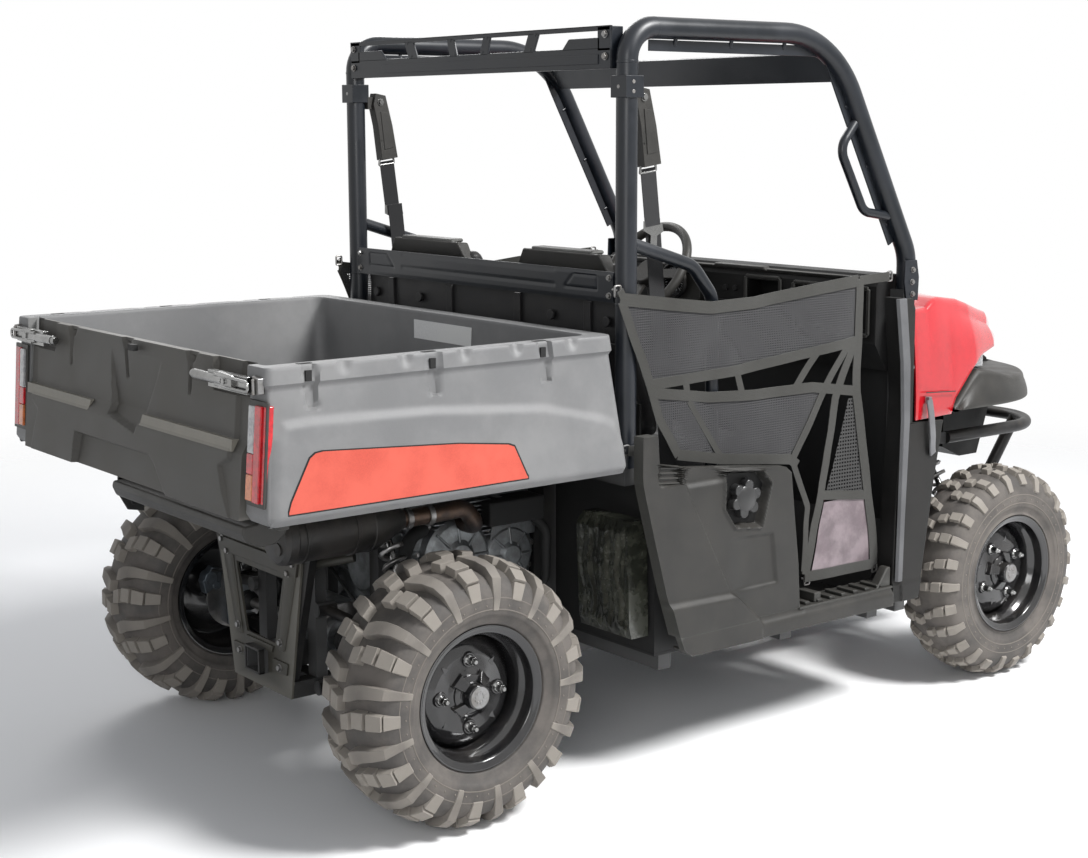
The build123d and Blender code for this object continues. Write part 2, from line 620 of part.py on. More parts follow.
def seat_base():
    low = FLOOR_Z + SEAT
    outline = [(SEAT_BASE_REAR_X, low), (SEAT_BASE_FRONT_X, low), (SEAT_BASE_FRONT_X, SEAT_BASE_TOP - 40),
               (SEAT_BASE_FRONT_X - 17, SEAT_BASE_TOP), (SEAT_BASE_REAR_X, SEAT_BASE_TOP)]
    shape = slab_y(outline, -INNER_Y, INNER_Y)
    hollow_x = (SEAT_BASE_REAR_X + PANEL, SEAT_BASE_FRONT_X - PANEL - 14)
    hollow_y = (PANEL - INNER_Y, INNER_Y - PANEL)
    shape = shape - block(hollow_x, hollow_y, (low - 1, SEAT_BASE_TOP - PANEL))
    back_x = (SEAT_BASE_REAR_X, SEAT_BASE_REAR_X + PANEL)
    return shape + block(back_x, (-FIREWALL_Y, FIREWALL_Y), (SEAT_BASE_TOP - 1, BACK_SHEET_TOP))


def seat_cushions():
    half = SEAT_WIDTH / 2
    z = (SEAT_BASE_TOP + SEAT, SEAT_CUSHION_TOP)
    shape = block((SEAT_REAR_X, SEAT_FRONT_X), (SEAT_Y - half, SEAT_Y + half), z)
    return both(fillet(shape.edges().filter_by(Axis.Z) + shape.edges().group_by(Axis.Z)[-1], 26))


def seat_backs():
    half = SEAT_WIDTH / 2
    low = SEAT_CUSHION_TOP + SEAT
    outline = [(622, low), (715, low), (592, 1262), (517, 1262)]
    shape = slab_y(outline, SEAT_Y - half, SEAT_Y + half)
    upright = shape.edges().filter_by(lambda edge: abs((edge @ 1 - edge @ 0).Z) > 300)
    return both(fillet(shape.edges().group_by(Axis.Z)[-1] + upright, 22))


def tray(outline, y_inner, y_outer, sheet, side):
    """Moulded panel with an outer skin and a rim that is open inboard."""
    plate = slab_y(outline, y_inner, y_outer)
    face = make_face(Polyline(*[(x, y_inner - 1, z) for x, z in outline], close=True))
    inset = offset(face, -sheet, kind=Kind.INTERSECTION)
    shape = plate - extrude(inset, amount=y_outer - sheet - y_inner + 1, dir=(0, 1, 0))
    return shape if side > 0 else flip(shape)


def side_panel(side):
    outline = [(464, 846), (508, 843), (515, 776), (617, 756), (944, 718), (964, 703), (998, 427),
               (1005, SILL_TOP), (COWL_REAR_X - MOVE, SILL_TOP), (COWL_REAR_X - MOVE, 300), (617, 293),
               (591, 312), (540, 460), (464, 735)]
    shape = tray(outline, INNER_Y + SEAT, SIDE_Y, PANEL, side)
    if side > 0:
        return shape
    x, z = FUEL_CAP_XZ
    hexagon = [(742, 729), (858, 718), (887, 684), (859, 581), (773, 591), (738, 640)]
    pocket = slab_y(hexagon, -SIDE_Y - 1, -SIDE_Y + FUEL_RECESS)
    wall = make_face(Polyline(*[(px, -SIDE_Y, pz) for px, pz in hexagon], close=True))
    cup_face = offset(wall, PANEL - 1, kind=Kind.INTERSECTION)
    cup = extrude(cup_face, amount=FUEL_RECESS + PANEL - 1, dir=(0, 1, 0))
    neck = rod((x, -SIDE_Y, z), (x, -SIDE_Y + FUEL_RECESS + 20, z), FUEL_NECK_R + SEAT)
    return shape + cup - pocket - neck


def fuel_cap():
    """Screw cap with its neck through the recess."""
    x, z = FUEL_CAP_XZ
    floor = -SIDE_Y + FUEL_RECESS
    cap = rod((x, floor - SEAT, z), (x, floor - 24, z), FUEL_CAP_R)
    return cap + rod((x, floor - 1, z), (x, floor + 18, z), FUEL_NECK_R)


def front_cowls():
    edge_x = HOOD_REAR_X - HOOD_SWING - MOVE
    rear = COWL_REAR_X
    outline = [(rear, 1115), (rear + 24, 851), (rear + 6, 531), (rear, 300), (rear + 99, 297),
               (rear + 110, 351), (rear + 148, 600), (rear + 178, FLANK_LOW - 15),
               (edge_x, FLANK_LOW - 10), (edge_x, 1085), (edge_x - 14, 1115)]
    return both(tray(outline, INNER_Y + SEAT, SIDE_Y, PANEL, 1))


def dash():
    front, rear = FIREWALL_X - SEAT, FIREWALL_X - DASH_DEPTH
    outline = [(rear, DASH_TOP - 30), (rear + 18, DASH_TOP), (front, DASH_TOP), (front, 905),
               (rear + 48, 905), (rear, 980)]
    shape = slab_y(outline, -FIREWALL_Y, FIREWALL_Y)
    shape = shape - block((rear - 12, rear + 53), (-190, -70), (1065, 1125))
    shape = shape - block((rear - 12, rear + 48), (-520, -260), (1010, 1120))
    for side in (-1, 1):
        stub_y = sorted((side * (CAB_Y - 30), side * (CAB_Y + 30)))
        shape = shape - block((STUB_X[0] - 5, FIREWALL_X), stub_y, (800, DASH_TOP + 1))
    hole = rod(column_point(-40), column_point(320), COLUMN_R + SEAT)
    return shape - hole


def column_point(distance):
    """Point on the steering axis, measured from the rim's plane towards the firewall."""
    x, y, z = WHEEL_CENTRE
    return (x + distance * cos(radians(COLUMN_SLOPE)), y, z - distance * sin(radians(COLUMN_SLOPE)))


def steering_column():
    shape = rod(column_point(47), column_point(320), COLUMN_R)
    shape = shape - rod(column_point(40), column_point(90), STEER_PIN_R + RUN)
    return shape - block((FIREWALL_X - SEAT, FIREWALL_X + 220), (0, 600), (700, 1300))


def steering_wheel():
    slope = radians(COLUMN_SLOPE)
    frame = Plane(origin=WHEEL_CENTRE, x_dir=(0, 1, 0), z_dir=(cos(slope), 0, -sin(slope)))
    rim_r = 14
    wheel = Torus(STEERING_R - rim_r, rim_r) + Pos(0, 0, 27) * Cylinder(36, 36)
    spoke = Pos((STEERING_R - rim_r) / 2 + 8, 0, 8) * Rot(0, 6, 0) * Box(STEERING_R - 40, 30, 8)
    for turn in (0, 180, 270):
        wheel = wheel + Rot(0, 0, turn) * spoke
    wheel = wheel + Pos(0, 0, 64) * Cylinder(STEER_PIN_R, 42)
    return frame * wheel


# ---------------------------------------------------------------- cab frame
def pillar_x(z):
    """Centre line of the leaning windscreen pillar."""
    lean = radians(PILLAR_LEAN)
    return PILLAR_X - (z - PILLAR_KNEE_Z) * sin(lean) / cos(lean)


def cab_path():
    """Centre line of one side: rear post, roof rail and windscreen pillar."""
    return [(POST_X, CAB_Y, POST_BOTTOM), (POST_X, CAB_Y, ROOF_Z), (pillar_x(ROOF_Z), CAB_Y, ROOF_Z),
            (PILLAR_X, CAB_Y, PILLAR_KNEE_Z), (PILLAR_X, CAB_Y, PILLAR_BOTTOM)]


def cab_tube(radius):
    return pipe(cab_path(), [REAR_ELBOW_R, FRONT_ELBOW_R, 120], radius)


def cab_frame(side):
    shape = cab_tube(CAB_TUBE_R)
    return shape if side > 0 else flip(shape)


def cross_panel(corner_low, corner_top, sheet, lug):
    """Flanged panel between the two cab frame sides with a lug at each end."""
    half = CAB_Y - CAB_TUBE_R - SEAT
    low, top = Vector(corner_low[0], 0, corner_low[1]), Vector(corner_top[0], 0, corner_top[1])
    along = (top - low).normalized()
    out = Vector(along.Z, 0, -along.X)
    outlines = [[(p.X, p.Z) for p in (low, top, top + out * deep, low + out * deep)] for deep in (sheet, lug)]
    shape = slab_y(outlines[0], -half, half)
    for side in (-1, 1):
        ends = sorted((side * (half - 8), side * half))
        shape = shape + slab_y(outlines[1], *ends)
    return shape


def rear_top_panel():
    rear = POST_X - CAB_TUBE_R - 4
    shape = cross_panel((rear, ROOF_TOP - 119), (rear, ROOF_TOP - 23), PANEL, PANEL_LUG)
    pitch = 2 * TOP_CUT_HALF / TOP_CUTS
    for i in range(TOP_CUTS):
        y = (i + 0.5) * pitch - TOP_CUT_HALF
        half = pitch / 2 - 14
        low, top = ROOF_TOP - 71, ROOF_TOP - 37
        cut = [(y - half + 14, low), (y + half - 14, low), (y + half, top), (y - half, top)]
        shape = shape - slab_x(cut, rear - 6, rear + 9)
    return shape


def front_header():
    x = pillar_x(ROOF_Z)
    return cross_panel((x + 41, ROOF_TOP - 141), (x - 2, ROOF_TOP - 71), PANEL, PANEL_LUG)


def seat_back_panel():
    x = POST_X - 16
    return cross_panel((x, 1150), (x, 1222), PANEL, PANEL_LUG)


def side_bolsters():
    """Hip bars from the rear posts down to the seat base."""
    bends = ((POST_X, 1293), (700, 1228), (766, 1150), (772, SEAT_BASE_TOP + SEAT))
    shape = pipe([(x, CAB_Y, z) for x, z in bends], [70, 60], BOLSTER_R)
    return both(shape - cab_tube(CAB_TUBE_R + SEAT) - block((0, POST_X), (400, 700), (1100, 1400)))


def grab_handle():
    """Passenger's handle on the right windscreen pillar."""
    path = []
    for share, reach in HANDLE_POINTS:
        z = PILLAR_KNEE_Z + share * (ROOF_Z - PILLAR_KNEE_Z)
        path.append((pillar_x(z) + reach, CAB_Y, z))
    shape = pipe(path, [45, 45], HANDLE_R) - cab_tube(CAB_TUBE_R + SEAT)
    shape = max(shape.solids(), key=lambda solid: solid.volume)
    return flip(shape)


def seat_belts():
    """Retractor housing on each rear post with its webbing down to the seat base."""
    x0 = POST_X + CAB_TUBE_R + SEAT
    low = ROOF_TOP - 350
    housing = block((x0, x0 + 58), (CAB_Y - 40, CAB_Y), (low, low + 191))
    seat_top = SEAT_BASE_TOP + SEAT
    outline = [(x0 + 10, low + 11), (x0 + 58, low + 11), (690, seat_top), (642, seat_top)]
    webbing = slab_y(outline, CAB_Y - 36, CAB_Y - 33)
    return both(housing + webbing)


def side_net(side):
    outline = [(470, 1174), (PILLAR_X - 183, 1160), (PILLAR_X - 115, 398), (1083, 403), (1042, 724),
               (565, 787), (470, 800)]
    y = CAB_Y + CAB_TUBE_R + SEAT
    shape = slab_y(outline, y, y + NET_SHEET)
    return shape if side > 0 else flip(shape)


# ---------------------------------------------------------------- front body
def widened(outline, inset):
    """Closed plan from half-width points (x, half)."""
    left = [(x, half - inset) for x, half in outline if half > 0]
    nose = [(x - inset, 0) for x, half in outline if half == 0]
    return left + nose + [(x, -y) for x, y in reversed(left)]


def hood():
    """One-piece hood with side flanks, open below, on two hinge tabs at the nose."""
    rear, nose = HOOD_REAR_X, HOOD_PIVOT_X + 50
    x = WHEELBASE
    plan = [(rear, 668), (x - 154, 642), (x - 24, 600), (x + 106, 505), (x + 206, 390), (x + 266, 240),
            (x + 291, 0)]
    side = [(rear, FLANK_LOW), (x - 264, FLANK_LOW), (x - 250, 826), (x - 163, 912), (x - 4, 950),
            (nose, 950), (nose, 985), (x + 206, 1005), (x - 64, 1050), (x - 204, 1092), (x - 324, 1104),
            (HOOD_TOP_REAR_X, 1080), (rear, 1082)]
    shape = slab_z(widened(plan, 0), 700, 1200) & slab_y(side, -700, 700)
    inner_plan = [(rear - 20, 668)] + plan
    top = [(px, z - PANEL) for px, z in side[6:]]
    under = [(rear - 20, 700), (nose, 700)] + top + [(rear - 20, side[-1][1] - PANEL)]
    shape = shape - (slab_z(widened(inner_plan, PANEL), 600, 1200) & slab_y(under, -700, 700))
    shape = shape - block((rear - 30, HOOD_TOP_REAR_X), (-FLANK_Y, FLANK_Y), (700, 1200))
    pivot_x, pivot_z = HOOD_PIVOT_X, HOOD_PIVOT_Z
    for side_sign in (-1, 1):
        tab_y = sorted((side_sign * 190, side_sign * 200))
        shape = shape + block((pivot_x - 14, pivot_x + 14), tab_y, (pivot_z - 14, pivot_z + 48))
        pin = [(pivot_x, side_sign * y, pivot_z) for y in (180, 210)]
        shape = shape - rod(*pin, HOOD_PIN_R + RUN)
    return shape


def front_fenders():
    """Wheel flares that run round to the nose, open below."""
    x, low, sheet = WHEELBASE, FENDER_LOW, FENDER_SHEET
    rear, nose = x - 252, x + 318
    plan = [(rear, 680), (x - 54, 680), (x + 46, 655), (x + 136, 605), (x + 226, 525), (x + 296, 420),
            (nose, FASCIA_Y + SEAT), (rear, FASCIA_Y + SEAT)]
    crown = [(rear + 16, 822), (x - 164, 898), (x - 94, 888), (x + 12, 863), (x + 321, 850)]
    shape = slab_z(plan, 700, 1000) & slab_y([(rear, low)] + crown + [(x + 321, low)], 0, 700)
    face = make_face(Polyline(*[(px, y, 700) for px, y in plan], close=True))
    inset = offset(face, -sheet, kind=Kind.INTERSECTION)
    hollow = [(px + 2, z - sheet - 1) for px, z in crown]
    under = slab_y([(rear + 10, low - 5)] + hollow + [(x + 323, low - 5)], 0, 700)
    return both(shape - (extrude(inset, amount=300, dir=(0, 0, 1)) & under))


def front_fascia():
    """Nose piece with a barred grille and the hood's hinge pins."""
    rear, x = FASCIA_REAR_X, WHEELBASE
    side = [(rear, 606), (rear, 905), (x + 222, 905), (x + 296, 862), (x + 318, 800), (x + 311, 700),
            (x + 266, 570), (x + 186, 570)]
    shape = slab_y(side, -FASCIA_Y, FASCIA_Y)
    inner = [(rear - 10, 614), (rear - 10, 897), (x + 219, 897), (x + 290, 856), (x + 310, 799),
             (x + 303, 702), (x + 260, 578), (x + 188, 578)]
    shape = shape - slab_y(inner, FENDER_SHEET - FASCIA_Y, FASCIA_Y - FENDER_SHEET)
    shape = shape - block((x + 246, x + 346), (-GRILLE_Y, GRILLE_Y), GRILLE_Z)
    low, top = GRILLE_Z
    pitch = (top - low) / GRILLE_BARS
    for i in range(GRILLE_BARS):
        z = low + (i + 0.5) * pitch
        shape = shape + block((x + 296, x + 306), (-GRILLE_Y - 4, GRILLE_Y + 4), (z - 8, z + 8))
    for y in (-GRILLE_Y / 2, 0, GRILLE_Y / 2):
        shape = shape + block((x + 294, x + 298), (y - 6, y + 6), (low - 4, top + 4))
    pivot_x, pivot_z = HOOD_PIVOT_X, HOOD_PIVOT_Z
    for sign in (-1, 1):
        ear_y = sorted((sign * 150, sign * 187))
        shape = shape + block((pivot_x - 15, pivot_x + 15), ear_y, (890, pivot_z + 15))
        shape = shape + rod((pivot_x, sign * 180, pivot_z), (pivot_x, sign * 203, pivot_z), HOOD_PIN_R)
    return shape


def headlamps():
    x, y = WHEELBASE, FASCIA_Y + SEAT
    plan = [(x + 26, 490), (x + 46, 420), (FASCIA_REAR_X + 5, y), (x + 196, y), (x + 176, 375),
            (x + 131, 436), (x + 76, 490)]
    return both(slab_z(plan, 872, 940))


# ---------------------------------------------------------------- load bed
def tapered(bottom, top):
    """Box between two rectangles, each given as (rear, front, half width, height)."""
    sections = []
    for rear, front, half, z in (bottom, top):
        corners = [(rear, -half, z), (front, -half, z), (front, half, z), (rear, half, z)]
        sections.append(make_face(Polyline(*corners, close=True)))
    return loft(sections, ruled=True)


def bed_box():
    """Tilting tray: double front and side walls, rear corner posts and two pivot brackets."""
    floor_z = BED_BOTTOM + BED_FLOOR
    shape = tapered((BED_REAR_BOTTOM_X, BED_FRONT_BOTTOM_X, BED_HALF_BOTTOM, BED_BOTTOM),
                    (BED_REAR_TOP_X, BED_FRONT_TOP_X, BED_HALF_TOP, BED_TOP))
    inner_rear = BED_REAR_BOTTOM_X + GATE_THICK + MOVE + 6
    shape = shape - tapered((inner_rear, BED_FRONT_TOP_X - 60, BED_FLOOR_HALF, floor_z),
                            (inner_rear, BED_FRONT_TOP_X - BED_WALL, BED_HALF_TOP - BED_WALL, BED_TOP + 0.5))
    gate_half = GATE_HALF + MOVE
    gate_x = (BED_REAR_BOTTOM_X - 20, inner_rear + 1)
    shape = shape - block(gate_x, (-gate_half, gate_half), (BED_BOTTOM - 1, BED_TOP + 1))
    for side in (-1, 1):
        bracket_y = sorted((side * 200, side * 222))
        shape = shape + block((PIVOT_X - 34, PIVOT_X + 34), bracket_y, (PIVOT_Z - 30, BED_BOTTOM + 5))
    shape = shape - rod((PIVOT_X, -300, PIVOT_Z), (PIVOT_X, 300, PIVOT_Z), PIVOT_R + SEAT)
    for side in (-1, 1):
        shape = shape - rod((GATE_PIVOT_X, side * (gate_half - 1), GATE_PIVOT_Z),
                            (GATE_PIVOT_X, side * (gate_half + 16), GATE_PIVOT_Z), GATE_PIVOT_R + RUN)
    return shape


def tailgate():
    """Drop gate on two pins at its lower corners."""
    rear_low, rear_top = -REAR_OVERHANG, BED_REAR_TOP_X - 8
    low, top = BED_BOTTOM + 4, BED_TOP + 2
    outline = [(rear_low, low), (rear_low + GATE_THICK, low + 12), (rear_top + GATE_THICK, top),
               (rear_top, top)]
    shape = slab_y(outline, -GATE_HALF, GATE_HALF)
    for side in (-1, 1):
        shape = shape + rod((GATE_PIVOT_X, side * (GATE_HALF - 5), GATE_PIVOT_Z),
                            (GATE_PIVOT_X, side * (GATE_HALF + MOVE + 14), GATE_PIVOT_Z), GATE_PIVOT_R)
    return shape


def tail_lamps():
    """Tall lamps on the bed's rear corner posts."""
    z_low, z_top = 813, 1015
    lean = (BED_REAR_TOP_X - BED_REAR_BOTTOM_X) / (BED_TOP - BED_BOTTOM)
    x_low = BED_REAR_BOTTOM_X + lean * (z_low - BED_BOTTOM) - SEAT / 2
    x_top = BED_REAR_BOTTOM_X + lean * (z_top - BED_BOTTOM) - SEAT / 2
    outline = [(x_low, z_low), (x_low - 9, z_low), (x_top - 9, z_top), (x_top, z_top)]
    return both(slab_y(outline, 577, 632))


# ---------------------------------------------------------------- write every sub-part
def build():
    """Every sub-part by its name."""
    makers = (lower_frame, rear_rails, front_rails, floor_tubes, rear_frame, front_frame,
              rear_frame_plate, hitch_receiver, front_bumper, floor_pan, seat_base, seat_cushions,
              seat_backs, fuel_cap, front_cowls, dash, steering_column, steering_wheel,
              rear_top_panel, front_header, seat_back_panel, side_bolsters, grab_handle,
              seat_belts, hood, front_fenders, front_fascia, headlamps, bed_box, tailgate,
              tail_lamps, front_arms, rear_arms, shocks, final_drives, drive_shafts, engine_block,
              exhaust, rear_knuckles)
    parts = {maker.__name__: maker() for maker in makers}
    for name, side in SIDES:
        parts[f"cab_frame_{name}"] = cab_frame(side)
        parts[f"side_panel_{name}"] = side_panel(side)
        parts[f"side_net_{name}"] = side_net(side)
        parts[f"knuckle_{name}"] = front_knuckle(side)
        for end, axle_x, track, radius, width, rim_half, disc, first_lug in (
                ("rear", 0, REAR_TRACK, REAR_TYRE_R, REAR_TYRE_W, REAR_RIM_HALF, REAR_DISC, REAR_FIRST_LUG),
                ("front", WHEELBASE, FRONT_TRACK, FRONT_TYRE_R, FRONT_TYRE_W, FRONT_RIM_HALF, FRONT_DISC,
                 FRONT_FIRST_LUG)):
            parts[f"tyre_{end}_{name}"] = tyre(axle_x, track, radius, width, rim_half, side)
            parts[f"rim_{end}_{name}"] = rim(axle_x, track, radius, rim_half, disc, first_lug, side)
    return parts


os.makedirs("parts", exist_ok=True)
for part_name, part_shape in build().items():
    save(part_name, part_shape)
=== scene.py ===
"""Looks of the two-seat utility side by side, built round its CAD frame.

Lengths in this file are millimetres in the layout of the CAD source: X = 0 at the rear axle,
+X forward, +Y to the left, Z = 0 on the ground.  `at` turns them into the frame's metres.
"""

from math import cos, hypot, pi, radians, sin
from types import SimpleNamespace

import bmesh
import bpy
import numpy as np
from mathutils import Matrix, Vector, noise


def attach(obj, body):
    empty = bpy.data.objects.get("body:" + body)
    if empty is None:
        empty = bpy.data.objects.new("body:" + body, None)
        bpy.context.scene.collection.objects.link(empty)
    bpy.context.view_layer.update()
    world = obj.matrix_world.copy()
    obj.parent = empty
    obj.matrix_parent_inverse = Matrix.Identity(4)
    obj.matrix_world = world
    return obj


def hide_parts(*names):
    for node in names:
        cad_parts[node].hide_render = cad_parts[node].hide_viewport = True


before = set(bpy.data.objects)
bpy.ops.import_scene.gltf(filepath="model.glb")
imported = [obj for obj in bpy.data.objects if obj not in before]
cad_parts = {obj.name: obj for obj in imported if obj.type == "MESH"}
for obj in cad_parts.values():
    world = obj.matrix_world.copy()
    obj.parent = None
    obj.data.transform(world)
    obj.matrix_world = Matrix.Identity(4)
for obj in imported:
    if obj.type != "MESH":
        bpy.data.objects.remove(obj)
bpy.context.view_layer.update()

MIDDLE = 867.0        # layout X of the frame's origin
AXLE = 1854.0         # layout X of the front axle
SIDES = (("right", -1), ("left", 1))
BACK = (-1, 0, 0)
WELD = 1e-5           # metres within which points of a piece become one


def at(x, y, z):
    """A point of the layout, in the frame's metres."""
    return Vector(((x - MIDDLE) / 1000, y / 1000, z / 1000))


# ---------------------------------------------------------------- materials
FINISHES = {}


def connect(tree, made, inputs):
    """Gives inputs of a node their values; a socket among them is linked."""
    for key, value in inputs.items():
        if isinstance(value, bpy.types.NodeSocket):
            tree.links.new(value, made.inputs[key])
        else:
            made.inputs[key].default_value = value


def node(tree, kind, inputs, **settings):
    """Adds a shader node with its settings and inputs."""
    made = tree.nodes.new("ShaderNode" + kind)
    for name, value in settings.items():
        setattr(made, name, value)
    connect(tree, made, inputs)
    return made


def ramp_between(tree, value, low, high):
    """Maps value from low..high onto 0..1, eased at both ends."""
    inputs = {"From Min": low, "From Max": high, "Value": value}
    return node(tree, "MapRange", inputs, interpolation_type="SMOOTHSTEP").outputs["Result"]


def mixed(tree, factor, a, b):
    """Colour a where factor is 0 and b where it is 1; a and b are colours or sockets."""
    a, b = [(*colour, 1) if isinstance(colour, tuple) else colour for colour in (a, b)]
    return node(tree, "Mix", {"Factor": factor, 6: a, 7: b}, data_type="RGBA").outputs[2]


def times(tree, a, b):
    """Product of two values, each a number or a socket."""
    return node(tree, "Math", {0: a, 1: b}, operation="MULTIPLY").outputs[0]


def noisy(tree, scale, detail, rough):
    """Noise over the object's own coordinates."""
    place = node(tree, "TexCoord", {}).outputs["Object"]
    inputs = {"Scale": scale, "Detail": detail, "Roughness": rough, "Vector": place}
    return node(tree, "TexNoise", inputs).outputs["Fac"]


def bumped(tree, height, strength, distance):
    """Normals of a fine relief, distance metres high."""
    inputs = {"Strength": strength, "Distance": distance, "Height": height}
    return node(tree, "Bump", inputs).outputs["Normal"]


def new_finish(name):
    """An empty finish: its node tree and its shader."""
    made = bpy.data.materials.new(name)
    made.use_nodes = True
    FINISHES[name] = made
    return made.node_tree, made.node_tree.nodes["Principled BSDF"]


def finish(name, base, other, rough=(0.4, 0.6), metal=0.0, grain=900, bump=0.1, patch=6.0, wear=None,
           dust=None, coat=0.0, sheen=0.0, shine=0.5):
    """A procedural finish: two patchy tones, fine grain in the surface, worn edges and settled dust.

    rough holds the roughness of the two tones, grain and patch the scales of the two noises.
    wear is (tone, pointiness at which it starts) and dust is (tone, amount).
    """
    tree, shader = new_finish(name)
    patches = ramp_between(tree, noisy(tree, patch, 5, 0.65), 0.35, 0.65)
    fine = noisy(tree, grain, 3, 0.6)
    speckle = ramp_between(tree, fine, 0.2, 0.8)
    darker = tuple(c * 0.82 for c in base)
    colour = mixed(tree, speckle, mixed(tree, patches, darker, other), mixed(tree, patches, base, other))
    if dust:
        tone, amount = dust
        normal = node(tree, "NewGeometry", {}).outputs["Normal"]
        facing = ramp_between(tree, node(tree, "SeparateXYZ", {"Vector": normal}).outputs["Z"], -0.9, 1.1)
        cloud = ramp_between(tree, noisy(tree, patch * 2.3, 6, 0.7), 0.3, 0.75)
        colour = mixed(tree, times(tree, times(tree, facing, cloud), amount), colour, tone)
    if wear:
        tone, start = wear
        pointed = node(tree, "NewGeometry", {}).outputs["Pointiness"]
        colour = mixed(tree, ramp_between(tree, pointed, start, start + 0.06), colour, tone)
    level = node(tree, "MapRange", {"To Min": rough[0], "To Max": rough[1], "Value": patches})
    connect(tree, shader, {
        "Base Color": colour, "Metallic": metal, "Roughness": level.outputs["Result"],
        "Specular IOR Level": shine, "Coat Weight": coat, "Coat Roughness": 0.06, "Sheen Weight": sheen,
        "Normal": bumped(tree, fine, bump, 0.001)})
    return shader


def woven(name, warp, weft, pitch, hole=0.0):
    """Cloth with threads pitch mm apart; hole is the open share of each cell's side."""
    tree, shader = new_finish(name)
    place = node(tree, "TexCoord", {}).outputs["Object"]
    split = node(tree, "SeparateXYZ", {"Vector": place})
    half = pitch / 2000
    waves = []
    for axis in "XZ":
        wave = node(tree, "Math", {0: split.outputs[axis], 1: half}, operation="PINGPONG")
        waves.append(ramp_between(tree, wave.outputs[0], 0, half))
    cross = times(tree, *waves)
    clouds = ramp_between(tree, noisy(tree, 9, 5, 0.7), 0.3, 0.7)
    connect(tree, shader, {
        "Base Color": mixed(tree, clouds, mixed(tree, waves[0], warp, weft), tuple(c * 0.7 for c in weft)),
        "Roughness": 0.85, "Specular IOR Level": 0.2, "Sheen Weight": 0.3,
        "Normal": bumped(tree, cross, 0.5, 0.0008)})
    if hole:
        solid = node(tree, "Math", {0: cross, 1: 1 - hole}, operation="LESS_THAN")
        connect(tree, shader, {"Alpha": solid.outputs[0]})


def lens(name, colour, transmission=0.35):
    """Lamp lens: coloured, ribbed inside and glossy."""
    shader = finish(name, colour, tuple(min(1, c * 1.4) for c in colour), (0.08, 0.16), grain=120, bump=0.25,
                    patch=60, coat=0.6)
    shader.inputs["Transmission Weight"].default_value = transmission


DUST = (0.30, 0.26, 0.21)
finish("frame_black", (0.006, 0.006, 0.007), (0.012, 0.012, 0.012), (0.38, 0.5), grain=500, bump=0.05,
       wear=((0.06, 0.06, 0.06), 0.56), dust=(DUST, 0.1), shine=0.3)
finish("cab_tube", (0.004, 0.006, 0.009), (0.008, 0.01, 0.014), (0.28, 0.4), grain=700, bump=0.04,
       wear=((0.03, 0.032, 0.036), 0.57), shine=0.42)
finish("body_plastic", (0.017, 0.0165, 0.015), (0.024, 0.023, 0.021), (0.4, 0.52), grain=1400, bump=0.35,
       wear=((0.06, 0.06, 0.055), 0.55), dust=(DUST, 0.05), shine=0.36)
finish("dark_plastic", (0.004, 0.004, 0.004), (0.007, 0.007, 0.007), (0.45, 0.6), grain=900, bump=0.3,
       wear=((0.02, 0.02, 0.02), 0.56), dust=(DUST, 0.02), shine=0.2)
finish("cowl_plastic", (0.009, 0.009, 0.0085), (0.014, 0.0135, 0.013), (0.4, 0.52), grain=1400, bump=0.35,
       wear=((0.05, 0.05, 0.047), 0.55), dust=(DUST, 0.03), shine=0.25)
finish("bin_plastic", (0.012, 0.013, 0.01), (0.045, 0.047, 0.036), (0.12, 0.3), grain=90, bump=0.5, patch=14,
       coat=0.5)
finish("cap_black", (0.014, 0.014, 0.015), (0.022, 0.022, 0.022), (0.2, 0.36), grain=500, bump=0.2)
finish("trim", (0.075, 0.076, 0.08), (0.095, 0.096, 0.1), (0.42, 0.55), grain=1400, bump=0.25)
finish("bed_plastic", (0.15, 0.151, 0.153), (0.18, 0.18, 0.18), (0.44, 0.58), grain=1100, bump=0.5, patch=4,
       wear=((0.2, 0.2, 0.195), 0.55), dust=((0.2, 0.19, 0.17), 0.12))
finish("gate_plastic", (0.044, 0.042, 0.038), (0.056, 0.053, 0.047), (0.46, 0.58), grain=1100, bump=0.5,
       patch=4, wear=((0.11, 0.105, 0.095), 0.55), dust=(DUST, 0.05), shine=0.36)
# Paler tone of the sheets on the gate's upward slope: painted highlight.
finish("gate_painted_highlight", (0.19, 0.178, 0.15), (0.22, 0.205, 0.175), (0.5, 0.6), grain=1100, bump=0.4)
finish("red_gloss", (0.4, 0.004, 0.01), (0.43, 0.006, 0.013), (0.16, 0.24), grain=60, bump=0.02, patch=3,
       coat=0.8)
finish("decal", (0.52, 0.077, 0.05), (0.54, 0.088, 0.057), (0.35, 0.45), grain=300, bump=0.05, patch=9)
finish("seat_vinyl", (0.008, 0.008, 0.009), (0.014, 0.014, 0.015), (0.4, 0.55), grain=420, bump=0.5,
       dust=(DUST, 0.04), shine=0.32)
finish("plate_grey", (0.026, 0.025, 0.02), (0.038, 0.036, 0.029), (0.42, 0.55), grain=500, bump=0.1,
       wear=((0.1, 0.095, 0.08), 0.55), dust=(DUST, 0.1), shine=0.4)
finish("cast_iron", (0.1, 0.12, 0.14), (0.05, 0.056, 0.062), (0.4, 0.6), 0.6, grain=420, bump=0.4, patch=18,
       wear=((0.28, 0.3, 0.32), 0.55))
finish("rim_black", (0.006, 0.006, 0.007), (0.011, 0.011, 0.012), (0.12, 0.22), grain=90, bump=0.03,
       coat=0.5, dust=(DUST, 0.06))
finish("tyre", (0.058, 0.053, 0.049), (0.12, 0.107, 0.096), (0.66, 0.86), grain=600, bump=0.5, patch=7,
       wear=((0.17, 0.15, 0.13), 0.56))
finish("tyre_lug", (0.06, 0.054, 0.05), (0.13, 0.117, 0.103), (0.66, 0.86), grain=600, bump=0.5, patch=16,
       wear=((0.22, 0.2, 0.175), 0.54))
